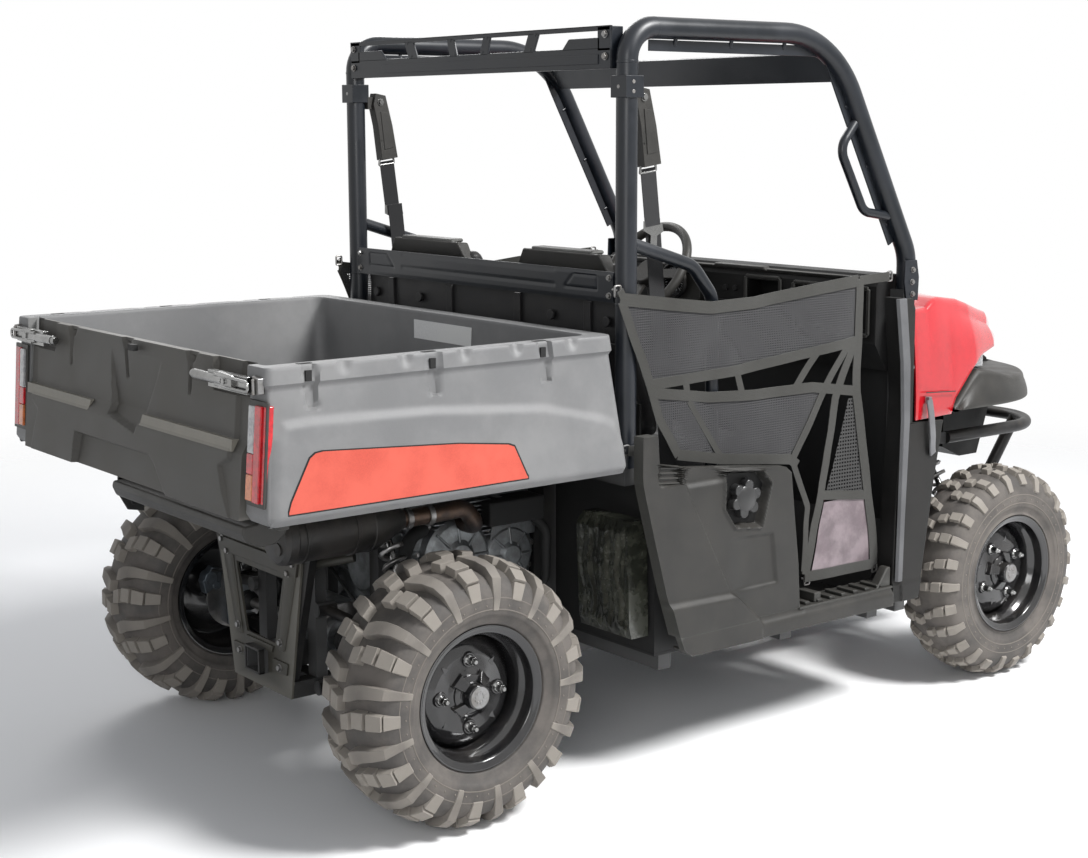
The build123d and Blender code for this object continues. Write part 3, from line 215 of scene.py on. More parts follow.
finish("chrome", (0.34, 0.34, 0.335), (0.2, 0.2, 0.195), (0.14, 0.3), 1.0, grain=200, bump=0.08)
finish("alloy", (0.26, 0.28, 0.29), (0.13, 0.135, 0.14), (0.36, 0.55), 0.85, grain=500, bump=0.35, patch=14,
       dust=(DUST, 0.15))
finish("steel", (0.3, 0.3, 0.3), (0.2, 0.19, 0.18), (0.3, 0.5), 1.0, grain=300, bump=0.15, patch=20)
finish("exhaust_black", (0.012, 0.012, 0.012), (0.024, 0.021, 0.019), (0.4, 0.6), 0.3, grain=400, bump=0.3,
       patch=12, dust=(DUST, 0.08))
finish("exhaust_steel", (0.13, 0.085, 0.06), (0.05, 0.045, 0.045), (0.35, 0.6), 0.9, grain=260, bump=0.2,
       patch=8)
finish("rubber", (0.008, 0.008, 0.008), (0.014, 0.014, 0.014), (0.6, 0.8), grain=500, bump=0.3, shine=0.3)
finish("latch_rubber", (0.11, 0.11, 0.115), (0.14, 0.14, 0.145), (0.5, 0.6), grain=500, bump=0.2)
lens("lamp_red", (0.62, 0.012, 0.02))
lens("lamp_amber", (0.75, 0.2, 0.06))
lens("lamp_clear", (0.75, 0.76, 0.78), transmission=0.6)
finish("lamp_inside", (0.6, 0.6, 0.6), (0.4, 0.4, 0.4), (0.15, 0.25), 1.0, grain=60, bump=0.3)
finish("label", (0.78, 0.78, 0.77), (0.72, 0.72, 0.7), (0.4, 0.5), grain=300, bump=0.03)
finish("dial", (0.01, 0.01, 0.012), (0.02, 0.02, 0.022), (0.1, 0.15), grain=90, bump=0.02, coat=0.5)
woven("web", (0.024, 0.0235, 0.021), (0.038, 0.037, 0.032), 3.2)
woven("belt", (0.008, 0.008, 0.009), (0.016, 0.016, 0.017), 2.6)
woven("mesh_fine", (0.02, 0.02, 0.021), (0.05, 0.049, 0.051), 6.0, 0.5)
woven("mesh_coarse", (0.02, 0.0195, 0.019), (0.04, 0.039, 0.038), 9.5, 0.6)
finish("patch_vinyl", (0.12, 0.09, 0.1), (0.2, 0.16, 0.172), (0.3, 0.45), grain=38, bump=1.0, patch=16,
       sheen=0.2)


# ---------------------------------------------------------------- building meshes
def circle(sides, r=1.0):
    """Points round a circle, as (side, up) pairs."""
    return [(r * cos(2 * pi * i / sides), r * sin(2 * pi * i / sides)) for i in range(sides)]


def fan(count, start=0.0):
    """Cosine and sine of each of count even steps of a turn, the first at start radians."""
    return [(cos(2 * pi * k / count + start), sin(2 * pi * k / count + start)) for k in range(count)]


class Shape:
    """Gathers solids in layout millimetres and turns them into one piece."""

    def __init__(self):
        self.verts = []
        self.faces = []

    def add(self, verts, faces):
        """Adds points and the faces between them."""
        start = len(self.verts)
        self.verts.extend(tuple(v) for v in verts)
        self.faces.extend([i + start for i in face] for face in faces)
        return self

    def loft(self, rings, caps=True):
        """Skin over rings of equal length; caps close the two ends."""
        count = len(rings[0])
        verts = [p for ring in rings for p in ring]
        faces = []
        for r in range(len(rings) - 1):
            for i in range(count):
                j = (i + 1) % count
                faces.append([r * count + i, r * count + j, (r + 1) * count + j, (r + 1) * count + i])
        if caps:
            faces.append(list(range(count))[::-1])
            faces.append([(len(rings) - 1) * count + i for i in range(count)])
        return self.add(verts, faces)

    def prism(self, outline, low, high, axis="y"):
        """Outline in the other two axes, in order, run from low to high along axis, which is x or y."""
        if axis == "x":
            return self.loft([[(t, y, z) for y, z in outline] for t in (low, high)])
        return self.loft([[(x, t, z) for x, z in outline] for t in (low, high)])

    def box(self, x, y, z):
        """Block between (low, high) pairs."""
        return self.prism([(x[0], z[0]), (x[1], z[0]), (x[1], z[1]), (x[0], z[1])], *sorted(y))

    def sweep(self, points, section, level=(0, 0, 1)):
        """Section, as (side, up) pairs or one list per point, carried along points."""
        pts = [Vector(p) for p in points]
        rings = []
        side = None
        for i, p in enumerate(pts):
            run = (pts[min(i + 1, len(pts) - 1)] - pts[max(i - 1, 0)]).normalized()
            if side is None:
                side = run.cross(Vector(level))
                side = side.normalized() if side.length > 1e-3 else run.orthogonal().normalized()
            else:
                side = (side - run * side.dot(run)).normalized()
            up = side.cross(run)
            shape = section[i] if isinstance(section[0], list) else section
            rings.append([p + side * a + up * b for a, b in shape])
        return self.loft(rings)

    def rod(self, start, end, r, r2=None, sides=20):
        """Straight round bar, r2 being its radius at the end."""
        return self.sweep([start, end], [circle(sides, r), circle(sides, r2 or r)])

    def tube(self, points, r, bend=0, sides=14):
        """Round bar along points, its corners bent to a radius."""
        return self.sweep(rounded(points, bend), circle(sides, r))

    def strap(self, points, width, thick, level=(0, 1, 0), bend=0):
        """Flat band along points, width across and thick through."""
        a, b = width / 2, thick / 2
        return self.sweep(rounded(points, bend, 6), [(-a, -b), (a, -b), (a, b), (-a, b)], level)

    def lathe(self, profile, centre, axis=(0, 1, 0), sides=64):
        """Profile of (radius, distance along axis) turned about the axis."""
        turn = Vector((0, 0, 1)).rotation_difference(Vector(axis)).to_matrix()
        rings = []
        for c, s in circle(sides):
            rings.append([Vector(centre) + turn @ Vector((r * c, r * s, t)) for r, t in profile])
        return self.loft(rings + [rings[0]], caps=False)

    def bolt(self, place, axis, size=8, tall=5):
        """Hexagon head on its washer."""
        out = Vector(axis).normalized()
        p = Vector(place)
        self.rod(p, p + out * 1.6, size * 1.25, sides=16)
        return self.rod(p + out * 1.5, p + out * (1.5 + tall), size, size * 0.93, sides=6)

    def flip(self):
        """Adds the mirror image on the other side of the vehicle."""
        count = len(self.verts)
        self.verts.extend([(x, -y, z) for x, y, z in self.verts])
        self.faces.extend([[i + count for i in face][::-1] for face in self.faces])
        return self

    def done(self, name, finish_name, body="chassis", bevel=0.0, slot=None, stands_for=(), sharp=32, steps=2):
        """Makes the piece: bevel in mm with steps segments, edges over sharp degrees left hard."""
        mesh = bpy.data.meshes.new(name)
        mesh.from_pydata([at(*v) for v in self.verts], [], self.faces)
        work = bmesh.new()
        work.from_mesh(mesh)
        bmesh.ops.remove_doubles(work, verts=work.verts, dist=WELD)
        bmesh.ops.recalc_face_normals(work, faces=work.faces)
        work.to_mesh(mesh)
        work.free()
        made = bpy.data.objects.new(name, mesh)
        bpy.context.scene.collection.objects.link(made)
        mesh.materials.append(FINISHES[finish_name])
        if bevel:
            cut = made.modifiers.new("bevel", "BEVEL")
            cut.width = bevel / 1000
            cut.segments = steps
            cut.limit_method = "ANGLE"
            cut.angle_limit = radians(35)
            cut.harden_normals = True
        mesh.shade_smooth()
        mesh.set_sharp_from_angle(angle=radians(sharp))
        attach(made, body)
        if stands_for:
            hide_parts(*stands_for)
        return made


def rounded(points, bend, steps=8):
    """Points with each inner corner turned into an arc of about that radius."""
    pts = [Vector(p) for p in points]
    if not bend:
        return pts
    out = [pts[0]]
    for before, p, after in zip(pts, pts[1:], pts[2:]):
        a, b = (before - p).normalized(), (after - p).normalized()
        half = a.angle(b) / 2
        reach = min(bend / max(1e-3, np.tan(half)), (before - p).length * 0.49, (after - p).length * 0.49)
        start, end = p + a * reach, p + b * reach
        for k in range(steps + 1):
            t = k / steps
            out.append(start * (1 - t) ** 2 + p * 2 * t * (1 - t) + end * t ** 2)
    return out + [pts[-1]]


def oval(width, height, corner, count=6):
    """Rounded rectangle as (side, up) pairs."""
    out = []
    for cx, cy, start in ((1, 1, 0), (-1, 1, 90), (-1, -1, 180), (1, -1, 270)):
        for k in range(count + 1):
            turn = radians(start + 90 * k / count)
            out.append((cx * (width / 2 - corner) + corner * cos(turn),
                        cy * (height / 2 - corner) + corner * sin(turn)))
    return out


# ---------------------------------------------------------------- embossed faces
def smooth(t):
    """Eased step from 0 to 1."""
    t = np.clip(t, 0, 1)
    return t * t * (3 - 2 * t)


def away_from(px, pz, ends):
    """Distance of points from the nearest of the lines between pairs of ends."""
    best = np.full(px.shape, 1e9)
    for (ax, az), (bx, bz) in ends:
        ex, ez = bx - ax, bz - az
        t = np.clip(((px - ax) * ex + (pz - az) * ez) / (ex * ex + ez * ez + 1e-9), 0, 1)
        best = np.minimum(best, np.hypot(px - ax - t * ex, pz - az - t * ez))
    return best


def inside(px, pz, outline):
    """Distance into a polygon: positive inside and negative outside."""
    ends = list(zip(outline, outline[1:] + outline[:1]))
    best = away_from(px, pz, ends)
    within = np.zeros(px.shape, bool)
    for (ax, az), (bx, bz) in ends:
        crosses = (az > pz) != (bz > pz)
        with np.errstate(divide="ignore", invalid="ignore"):
            cut = ax + (pz - az) * (bx - ax) / (bz - az)
        within ^= crosses & (px < cut)
    return np.where(within, best, -best)


def emboss(px, pz, outline, depth, slope):
    """Height that rises to depth over slope mm inside the outline."""
    return depth * smooth(inside(px, pz, outline) / slope)


def groove(px, pz, points, width, depth):
    """Height along a line of points, width mm wide."""
    return depth * smooth(1 - away_from(px, pz, zip(points, points[1:])) / width)


def between(rows, step):
    """The rows with more rows put in, at most step apart where a gap holds two or more."""
    out = []
    for before, after in zip(rows, rows[1:]):
        count = max(1, int(abs(after[0] - before[0]) / step))
        for k in range(count):
            t = k / count
            out.append(tuple(p + (q - p) * t for p, q in zip(before, after)))
    return out + [rows[-1]]


def panel(shape, rows, step, place, height, back=5.0):
    """Embossed plate on a grid of about step mm.

    rows is a list of (v, u_low, u_high), place(u, v, h) gives the point that stands h proud, height(u, v)
    gives h, and back is how far behind the plate's mean face its rear lies.
    """
    levels = between(rows, step)
    across = max(2, int(max(abs(b - a) for _, a, b in rows) / step))
    t = np.linspace(0, 1, across + 1)
    u = np.array([a + (b - a) * t for _, a, b in levels])
    v = np.array([[level] * (across + 1) for level, _, _ in levels])
    front = place(u, v, height(u, v))
    rear = place(u, v, np.full(u.shape, -back))
    n, m = u.shape
    verts = np.stack(front, -1).reshape(-1, 3).tolist() + np.stack(rear, -1).reshape(-1, 3).tolist()
    faces = []
    for i in range(n - 1):
        for j in range(m - 1):
            a = i * m + j
            faces.append([a, a + 1, a + m + 1, a + m])
    index = np.arange(n * m).reshape(n, m)
    edge = [*index[0], *index[1:, -1], *index[-1, -2::-1], *index[-2:0:-1, 0]]
    edge = [int(e) for e in edge]
    for a, b in zip(edge, edge[1:] + edge[:1]):
        faces.append([a, b, b + n * m, a + n * m])
    faces.append([e + n * m for e in edge][::-1])
    return shape.add(verts, faces)


# ---------------------------------------------------------------- finishes of the CAD nodes
NODE_FINISH = {
    "frame_black": "lower_frame rear_rails front_rails floor_tubes rear_frame front_frame "
                   "hitch_receiver front_bumper front_arms rear_arms knuckle_left knuckle_right",
    "plate_grey": "rear_frame_plate", "cast_iron": "rear_knuckles",
    "cab_tube": "rear_top_panel front_header seat_back_panel side_bolsters grab_handle cab_frame_left "
                "cab_frame_right",
    "body_plastic": "fuel_cap front_cowls steering_wheel front_fenders side_panel_left side_panel_right",
    "dark_plastic": "floor_pan seat_base dash steering_column front_fascia",
    "bed_plastic": "bed_box", "gate_plastic": "tailgate", "red_gloss": "hood",
    "seat_vinyl": "seat_cushions seat_backs", "belt": "seat_belts", "lamp_red": "tail_lamps",
    "lamp_clear": "headlamps", "alloy": "engine_block", "steel": "shocks final_drives drive_shafts",
    "exhaust_steel": "exhaust", "mesh_fine": "side_net_left side_net_right",
    "rim_black": "rim_front_left rim_front_right rim_rear_left rim_rear_right",
    "tyre": "tyre_front_left tyre_front_right tyre_rear_left tyre_rear_right",
}
for finish_name, node_names in NODE_FINISH.items():
    for node_name in node_names.split():
        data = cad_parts[node_name].data
        data.materials.clear()
        data.materials.append(FINISHES[finish_name])


# ---------------------------------------------------------------- wheels
# each tread bar is a list of (distance from crown, middle angle, half width in mm, height share);
# bars alternate round the tyre, so each end has two patterns
REAR_BARS = (
    [[(14, 0.35, 14, 1), (34, 0.25, 17, 1), (60, 0.12, 15, 1), (88, 0.05, 13, 1), (112, 0.02, 12, 0.8),
      (150, 0, 9, 0.42), (176, 0, 7, 0.3)]],
    [[(6, 0.18, 16, 1), (34, 0.08, 18, 1)], [(43, 0.0, 17, 1), (74, -0.04, 18, 1)],
     [(82, -0.03, 18, 0.95), (112, -0.02, 16, 0.85)], [(116, -0.02, 16, 0.62), (150, 0, 13, 0.4)]],
)
FRONT_BARS = (
    [[(10, 0.3, 9, 1), (30, 0.2, 11, 1)], [(40, 0.1, 11, 1), (66, 0.02, 12, 1)],
     [(72, 0.0, 13, 0.9), (96, 0, 12, 0.6)]],
    [[(4, 0.1, 10, 1), (24, 0.06, 11, 1)], [(36, 0.04, 12, 1), (60, 0.0, 12, 1)],
     [(66, 0.0, 11, 0.9), (80, 0, 11, 0.8), (112, 0, 9, 0.42)]],
)
# half is half the tyre's width, track the wheel's distance from the middle of the vehicle, depth the tread's,
# disc how far outboard of the wheel's middle the disc stands, nut the first wheel nut's angle in degrees, and
# rings are the sidewall's raised rings as (radius, height)
WHEELS = {
    "rear": SimpleNamespace(axle=0, radius=310, half=126, track=571, rim_half=105, depth=21, disc=49,
                            nut=0, bars=REAR_BARS, rings=((206, 1.6), (232, 1.2))),
    "front": SimpleNamespace(axle=AXLE, radius=303, half=95, track=597, rim_half=85, depth=15, disc=35,
                             nut=30, bars=FRONT_BARS, rings=((204, 1.6), (228, 1.2))),
}
PITCHES = 26            # tread bars round each half of a tyre
HALF_WIDTH = 696.8      # the tread stays within the CAD's width
BORE = 150              # radius of the carcass inside the rim
PAD_RADIUS, PADS = 216, 44
NUT_RADIUS = 78


def fine_profile(points, steps):
    """The same section with its corners eased by a Catmull-Rom curve."""
    pts = [np.array(p, float) for p in points]
    out = []
    for i in range(len(pts) - 1):
        p0, p1, p2, p3 = pts[max(i - 1, 0)], pts[i], pts[i + 1], pts[min(i + 2, len(pts) - 1)]
        for k in range(steps):
            t = k / steps
            out.append(tuple(0.5 * ((2 * p1) + (p2 - p0) * t + (2 * p0 - 5 * p1 + 4 * p2 - p3) * t * t
                                    + (3 * p1 - p0 - 3 * p2 + p3) * t ** 3)))
    return out + [tuple(pts[-1])]


def carcass_profile(crown, half, rim_half):
    """Outer half of the tyre's section, from the crown to the bead, as (radius, distance outboard)."""
    shoulder = [(1.5, 0.3), (6, 0.55), (15, 0.76), (30, 0.9), (50, 0.975), (72, 0.995), (92, 0.975)]
    wall = [(crown - drop, half * share) for drop, share in shoulder]
    bead = [(188, half * 0.93), (176, half * 0.885), (170, rim_half + 2), (168.5, rim_half - 4),
            (160, rim_half - 6)]
    return [(crown, 0)] + wall + bead


def walk(profile, distance):
    """Point and outward normal of the profile at a distance from the crown."""
    for (r0, t0), (r1, t1) in zip(profile, profile[1:]):
        length = hypot(r1 - r0, t1 - t0)
        if distance <= length:
            k = distance / length
            return (r0 + (r1 - r0) * k, t0 + (t1 - t0) * k), ((t1 - t0) / length, -(r1 - r0) / length)
        distance -= length
    return profile[-1], (0, 1)


def outboard(profile, radius):
    """How far outboard the sidewall stands at a radius."""
    return np.interp(radius, [r for r, _ in reversed(profile)], [t for _, t in reversed(profile)])


def tread(shape, wheel, profile, centre, facing, first):
    """Tread bars round one half of the crown, which faces the +Y or -Y side; first is 1 on the inner half."""
    step = 2 * pi / PITCHES
    for k in range(PITCHES):
        for bar in wheel.bars[(k + first) % 2]:
            rings = []
            for n, (distance, lean, half_width, share) in enumerate(bar):
                (r, t), (normal_r, normal_t) = walk(profile, distance)
                middle = (k + first * 0.5 + lean) * step
                tall = wheel.depth * share
                along = {0: -3.0, len(bar) - 1: 3.0}.get(n, 0)
                ring = []
                for width, lift, slide in ((-half_width - 2.5, -4, along), (-half_width, tall, 0),
                                           (half_width, tall, 0), (half_width + 2.5, -4, along)):
                    out_r = r + normal_r * lift - normal_t * slide
                    out_t = t + normal_t * lift + normal_r * slide
                    turn = middle + width / r
                    ring.append((centre[0] + out_r * cos(turn), centre[1] + facing * out_t,
                                 centre[2] + out_r * sin(turn)))
                rings.append(ring)
            shape.loft(rings)


def spot(wheel, side, turn, r, w, t):
    """Point r from the axis at angle turn, w beside that spoke and t outboard of the wheel's middle."""
    c, s = cos(turn), sin(turn)
    return (wheel.axle + r * c - w * s, side * (wheel.track + t), wheel.radius + r * s + w * c)


def make_tyre(end, name, side):
    """Carcass with raised rings and pads on its sidewalls, and the tread."""
    wheel = WHEELS[end]
    body = f"wheel_{end}_{name}"
    centre = (wheel.axle, side * wheel.track, wheel.radius)
    profile = carcass_profile(wheel.radius - wheel.depth - 0.5, wheel.half - 1.5, wheel.rim_half)
    carcass = Shape()
    outer = fine_profile(profile, 3)
    inner = [(BORE, wheel.rim_half - 10), (BORE, 10 - wheel.rim_half)]
    carcass.lathe(outer + inner + [(r, -t) for r, t in reversed(outer[1:])], centre, (0, 1, 0), 120)
    for radius, proud in wheel.rings:
        for out in (1, -1):
            t = outboard(profile, radius)
            bead = [(-2, -1), (-1, proud), (1, proud), (2, -1)]
            carcass.lathe([(radius + r, out * (t + rise)) for r, rise in bead], centre, (0, 1, 0), 120)
    for c, s in fan(PADS):
        y = side * (wheel.track + outboard(profile, PAD_RADIUS) - 0.6)
        place = Vector((wheel.axle + PAD_RADIUS * c, y, wheel.radius + PAD_RADIUS * s))
        carcass.rod(place, place + Vector((0, side * 2.2, 0)), 2.6, 1.6, 6)
    carcass.done(f"carcass_{end}_{name}", "tyre", body, slot="tyre", sharp=45,
                 stands_for=[f"tyre_{end}_{name}"])
    bars = Shape()
    for facing, first in ((side, 0), (-side, 1)):
        tread(bars, wheel, profile, centre, facing, first)
    bars.verts = [(x, max(-HALF_WIDTH, min(HALF_WIDTH, y)), z) for x, y, z in bars.verts]
    bars.done(f"tread_{end}_{name}", "tyre_lug", body, bevel=1.6, slot="tyre", steps=1)


def make_rim(end, name, side):
    """The rim's barrel and its disc."""
    wheel = WHEELS[end]
    half, disc = wheel.rim_half, wheel.disc
    centre = (wheel.axle, side * wheel.track, wheel.radius)
    out = (0, side, 0)
    barrel = Shape()
    outer = fine_profile([(166, half), (166.5, half - 3), (164, half - 6), (153, half - 8), (152, half - 30),
                          (147, half - 38), (141, half - 46), (138, half - 52)], 3)
    inner = fine_profile([(163, half), (158, half - 2.5), (149, half - 6), (146.5, half - 12),
                          (146, half - 31), (142, half - 38), (136, half - 46), (133, half - 52)], 3)
    barrel.lathe(outer + [(r, -t) for r, t in reversed(outer)] + [(r, -t) for r, t in inner] + inner[::-1],
                 centre, out, 96)
    # the disc's outer face from the well to the bore, then its back, as (radius, distance from disc)
    face = [(134.5, -33), (133, -27), (126, -20), (118, -10), (108, -4), (99, -1), (94, 2), (90, 3), (60, 3),
            (56, 5), (50, 9), (44, 10), (30, 10), (30, 2), (60, -3), (90, -4), (104, -10), (120, -24),
            (130, -33)]
    barrel.lathe([(r, disc + t) for r, t in face], centre, out, 96)
    barrel.done(f"wheel_{end}_{name}_rim", "rim_black", f"wheel_{end}_{name}", slot="rim_black", sharp=50,
                stands_for=[f"rim_{end}_{name}"])


def make_hub(end, name, side):
    """The hub with its four webs, and the small caps on its face."""
    wheel = WHEELS[end]
    centre = (wheel.axle, side * wheel.track, wheel.radius)
    out = Vector((0, side, 0))
    body = f"wheel_{end}_{name}"
    hub, core = Shape(), Shape()
    foot = wheel.disc + 9
    dome = [(0, 0), (44, 0), (46, 5), (38, 9), (30, 10), (29, 34), (27, 37), (0, 37)]
    hub.lathe([(r, foot + t) for r, t in dome], centre, out, 40)
    near = ((30, -16, 0), (30, 16, 0), (30, 10, 22), (30, -10, 22))
    far = ((56, -20, -2), (56, 20, -2), (54, 15, 8), (54, -15, 8))
    for k in range(4):
        turn = radians(wheel.nut + 45 + 90 * k)
        hub.loft([[spot(wheel, side, turn, r, w, foot + t) for r, w, t in ring] for ring in (near, far)])
    hub.lathe([(r, wheel.disc + t) for r, t in ((16, -40), (38, -40), (38, 4), (16, 4))], centre, out, 32)
    hub.done(f"hub_{end}_{name}", "rim_black", body, bevel=1.5, slot="rim_black")
    core.lathe([(r, foot + t) for r, t in ((0, 35), (25, 35), (24.5, 38.5), (0, 38.5))], centre, out, 32)
    for c, s in fan(9):
        place = Vector((centre[0] + 12 * c, side * (wheel.track + foot + 37), centre[2] + 12 * s))
        core.rod(place, place + out * 3, 4.5, 3, 8)
    core.done(f"hub_face_{end}_{name}", "steel", body, bevel=0.6, slot="steel")


def make_nuts(end, name, side):
    """Four wheel nuts on their bosses, with a pointed mark between each two."""
    wheel = WHEELS[end]
    out = Vector((0, side, 0))
    body = f"wheel_{end}_{name}"
    nuts, marks = Shape(), Shape()
    for k in range(4):
        turn = radians(wheel.nut + 90 * k)
        place = Vector(spot(wheel, side, turn, NUT_RADIUS, 0, wheel.disc + 3))
        marks.rod(place - out * 2, place + out * 4, 19, 16, 24)
        nuts.rod(place + out * 3, place + out * 8, 14, 10, 20)
        nuts.rod(place + out * 8, place + out * 24, 9.5, sides=6)
        nuts.rod(place + out * 24, place + out * 31, 8.5, 4.5, 14)
        turn += radians(45)
        corners = []
        for reach, swing in ((102, 0), (84, 0.1), (84, -0.1)):
            corners.append((wheel.axle + reach * cos(turn + swing),
                            wheel.radius + reach * sin(turn + swing)))
        face = wheel.track + wheel.disc
        marks.prism(corners, side * (face + 2.4), side * (face + 3.6))
    nuts.done(f"lug_nuts_{end}_{name}", "chrome", body, bevel=0.8, slot="steel")
    marks.done(f"rim_bosses_{end}_{name}", "rim_black", body, bevel=1.0, slot="rim_black")


for name, side in SIDES:
    for end in ("rear", "front"):
        make_tyre(end, name, side)
        make_rim(end, name, side)
        make_hub(end, name, side)
        make_nuts(end, name, side)


# ---------------------------------------------------------------- load bed
BED_LOW, BED_TOP = 762.0, 1087.0
BED_REAR, BED_SIDE = -519, 667                  # the wall's outer face at its foot, as X and as |Y|
REAR_LEAN, SIDE_LEAN, FRONT_LEAN = 24, 29, 42   # how far each outer face comes in over the wall's height
POCKETS = ((-400, -390), (-95, -88), (203, 214))      # X of each post pocket at its top and at its foot
CONES = (-316, -164, -13, 128, 284)                   # X of the dents in the top edge
ARCH = [(-517, 762), (-497, 946), (-470, 981), (-400, 985), (-105, 977), (200, 952), (376, 909), (407, 890),
        (439, 839), (449, 762)]


def rise(z):
    """Share of the bed wall's height."""
    return (z - BED_LOW) / (BED_TOP - BED_LOW)


def bed_side(x, z):
    """How proud the bed's outer side stands, from its mean face."""
    arch = [(ax, az - 20 if az == 762 else az) for ax, az in ARCH]
    h = -8 + 9 * smooth((z - 1043) / 6) + emboss(x, z, arch, 9, 26)
    for top, low in POCKETS:
        pocket = [(top - 20, 1100), (top + 20, 1100), (low + 14, 993), (low - 14, 993)]
        h = h + emboss(x, z, pocket, -10, 3.5)
    for place in CONES:
        away = np.hypot((x - place) / 17, np.maximum(0, 1089 - z) / 26)
        h = h - 11 * smooth(1.3 - away)
    return h - 12 * smooth((784 - z) / 22)


def bed_plan(rear, front, half, rear_radius, front_radius, jamb, counts):
    """Plan of the bed's wall at one height: points and outward normals, from jamb to jamb round the front.

    counts are the numbers of points on the jamb's face, on each corner, on the side and on half the front.
    """
    n_post, n_arc, n_side, n_front = counts
    path = [((rear, y), (-1, 0)) for y in np.linspace(-jamb, rear_radius - half, n_post, endpoint=False)]
    for cx, r, start in ((rear + rear_radius, rear_radius, 180), (front - front_radius, front_radius, 270)):
        for angle in np.linspace(start, start + 90, n_arc, endpoint=False):
            c, s = cos(radians(angle)), sin(radians(angle))
            path.append(((cx + r * c, r - half + r * s), (c, s)))
        if cx < 0:
            path += [((x, -half), (0, -1))
                     for x in np.linspace(rear + rear_radius, front - front_radius, n_side, endpoint=False)]
    path += [((front, y), (1, 0)) for y in np.linspace(front_radius - half, 0, n_front)]
    mirror = [((x, -y), (nx, -ny)) for (x, y), (nx, ny) in reversed(path[:-1])]
    return path + mirror


def bed_walls():
    """The bed's walls as one skin, inside and out, with their relief and rounded top."""
    counts = (10, 6, 136, 36)
    levels = [BED_LOW, *np.arange(BED_LOW + 3, BED_TOP - 4, 5.4), BED_TOP - 3, BED_TOP - 0.8, BED_TOP]
    rings = []
    for n, z in enumerate(levels):
        t = rise(z)
        lift = {len(levels) - 2: 1.2, len(levels) - 1: 4}.get(n, 0)       # rounds the top edge
        shrink = 8 if n == 0 else lift
        half = BED_SIDE - SIDE_LEAN * t
        outer = bed_plan(BED_REAR + REAR_LEAN * t, 449 - FRONT_LEAN * t, half, 14, 30, 566, counts)
        inner = bed_plan(-475, 347 + 18 * t, 545 + 51 * t, 6, 34, 566 if t > 0.4 else 540, counts)
        px = np.array([p[0] for p, _ in outer])
        proud = bed_side(px, np.full(px.shape, z))
        plain = -8 + 9 * float(smooth((z - 1043) / 6)) - 12 * float(smooth((784 - z) / 22))
        ring = []
        for (p, normal), h in zip(outer, proud):
            out = abs(normal[1]) * h + (1 - abs(normal[1])) * (plain + 3) - shrink
            ring.append((p[0] + normal[0] * out, p[1] + normal[1] * out, z))
        for p, normal in reversed(inner):
            ring.append((p[0] + normal[0] * lift, p[1] + normal[1] * lift, max(z, 780)))
        rings.append(ring)
    walls = Shape().loft(rings, caps=False)
    half = len(rings[0]) // 2
    for start in (0, (len(rings) - 1) * 2 * half):
        for i in range(half - 1):
            a, b = start + i, start + i + 1
            c, d = start + 2 * half - 2 - i, start + 2 * half - 1 - i
            walls.faces.append([a, b, c, d])
    walls.done("bed_walls", "bed_plastic", "bed", slot="bed_plastic", sharp=40, stands_for=["bed_box"])


def floor_height(x, y):
    """Flat grooves between ribs 78 mm apart."""
    ribs = np.abs(((y + 545) % 78) - 39)
    return -5 * smooth((ribs - 25) / 6) * smooth((330 - x) / 20) * smooth((x + 455) / 20)


def bed_floor():
    """Ribbed skin on the bed's floor."""
    skin = panel(Shape(), [(-548, -476, 350), (548, -476, 350)], 6, lambda u, v, h: (u, v, 794 + h),
                 floor_height, back=30)
    skin.done("bed_floor_skin", "bed_plastic", "bed", slot="bed_plastic", sharp=40)


def bed_underside():
    """Ribs and brackets under the bed."""
    under = Shape()
    for y in (-420, -211, 0, 211, 420):
        under.box((-468, 430), (y - 18, y + 18), (752, 764))
    for side in (-1, 1):
        under.prism([(-394, 690), (-326, 690), (-320, 764), (-400, 764)], side * 200, side * 222)
    under.box((-478, -454), (-640, 640), (752, 764))
    under.done("bed_underside", "body_plastic", "bed", bevel=3, slot="bed_plastic")


def pocket_holes():
    """Black patch for the hole in each post pocket's outer face and in its top: painted shade, no hole is
    cut.
    """
    hole_shades = Shape()
    z0, z1 = 1052, 1074
    y = BED_SIDE - SIDE_LEAN * (z1 - BED_LOW) / (BED_TOP - BED_LOW) - 4.6
    for top, _ in POCKETS:
        for side in (-1, 1):
            # Black patches stand for the holes: painted shade.
            hole_shades.box((top - 5, top + 9), (side * (y - 6), side * (y + 1)), (z0, z1))
            hole_shades.box((top - 16, top + 16), (side * 614, side * 626), (1084, 1088))
    hole_shades.done("bed_pocket_hole_shade", "rubber", "bed", slot="bed_plastic")


bed_walls()
bed_floor()
bed_underside()
pocket_holes()


# ---------------------------------------------------------------- tailgate
GATE_LOW, GATE_FACE = 766, -530                       # Z of the foot, and X of the outer face there
V_FIELD = [(92, 1064), (76, 908), (-73, 882), (-180, 1064)]
LOWER_FIELD = [(246, 847), (-146, 847), (-178, 831), (-252, 742), (280, 742)]
GATE_EDGE = [(-470, 870), (-524, 740), (524, 740), (470, 870), (512, 892), (512, 1200), (-512, 1200),
             (-512, 892)]


def gate_lean(z):
    """How far forward of its foot the gate's face stands."""
    return 27 * (z - GATE_LOW) / 322


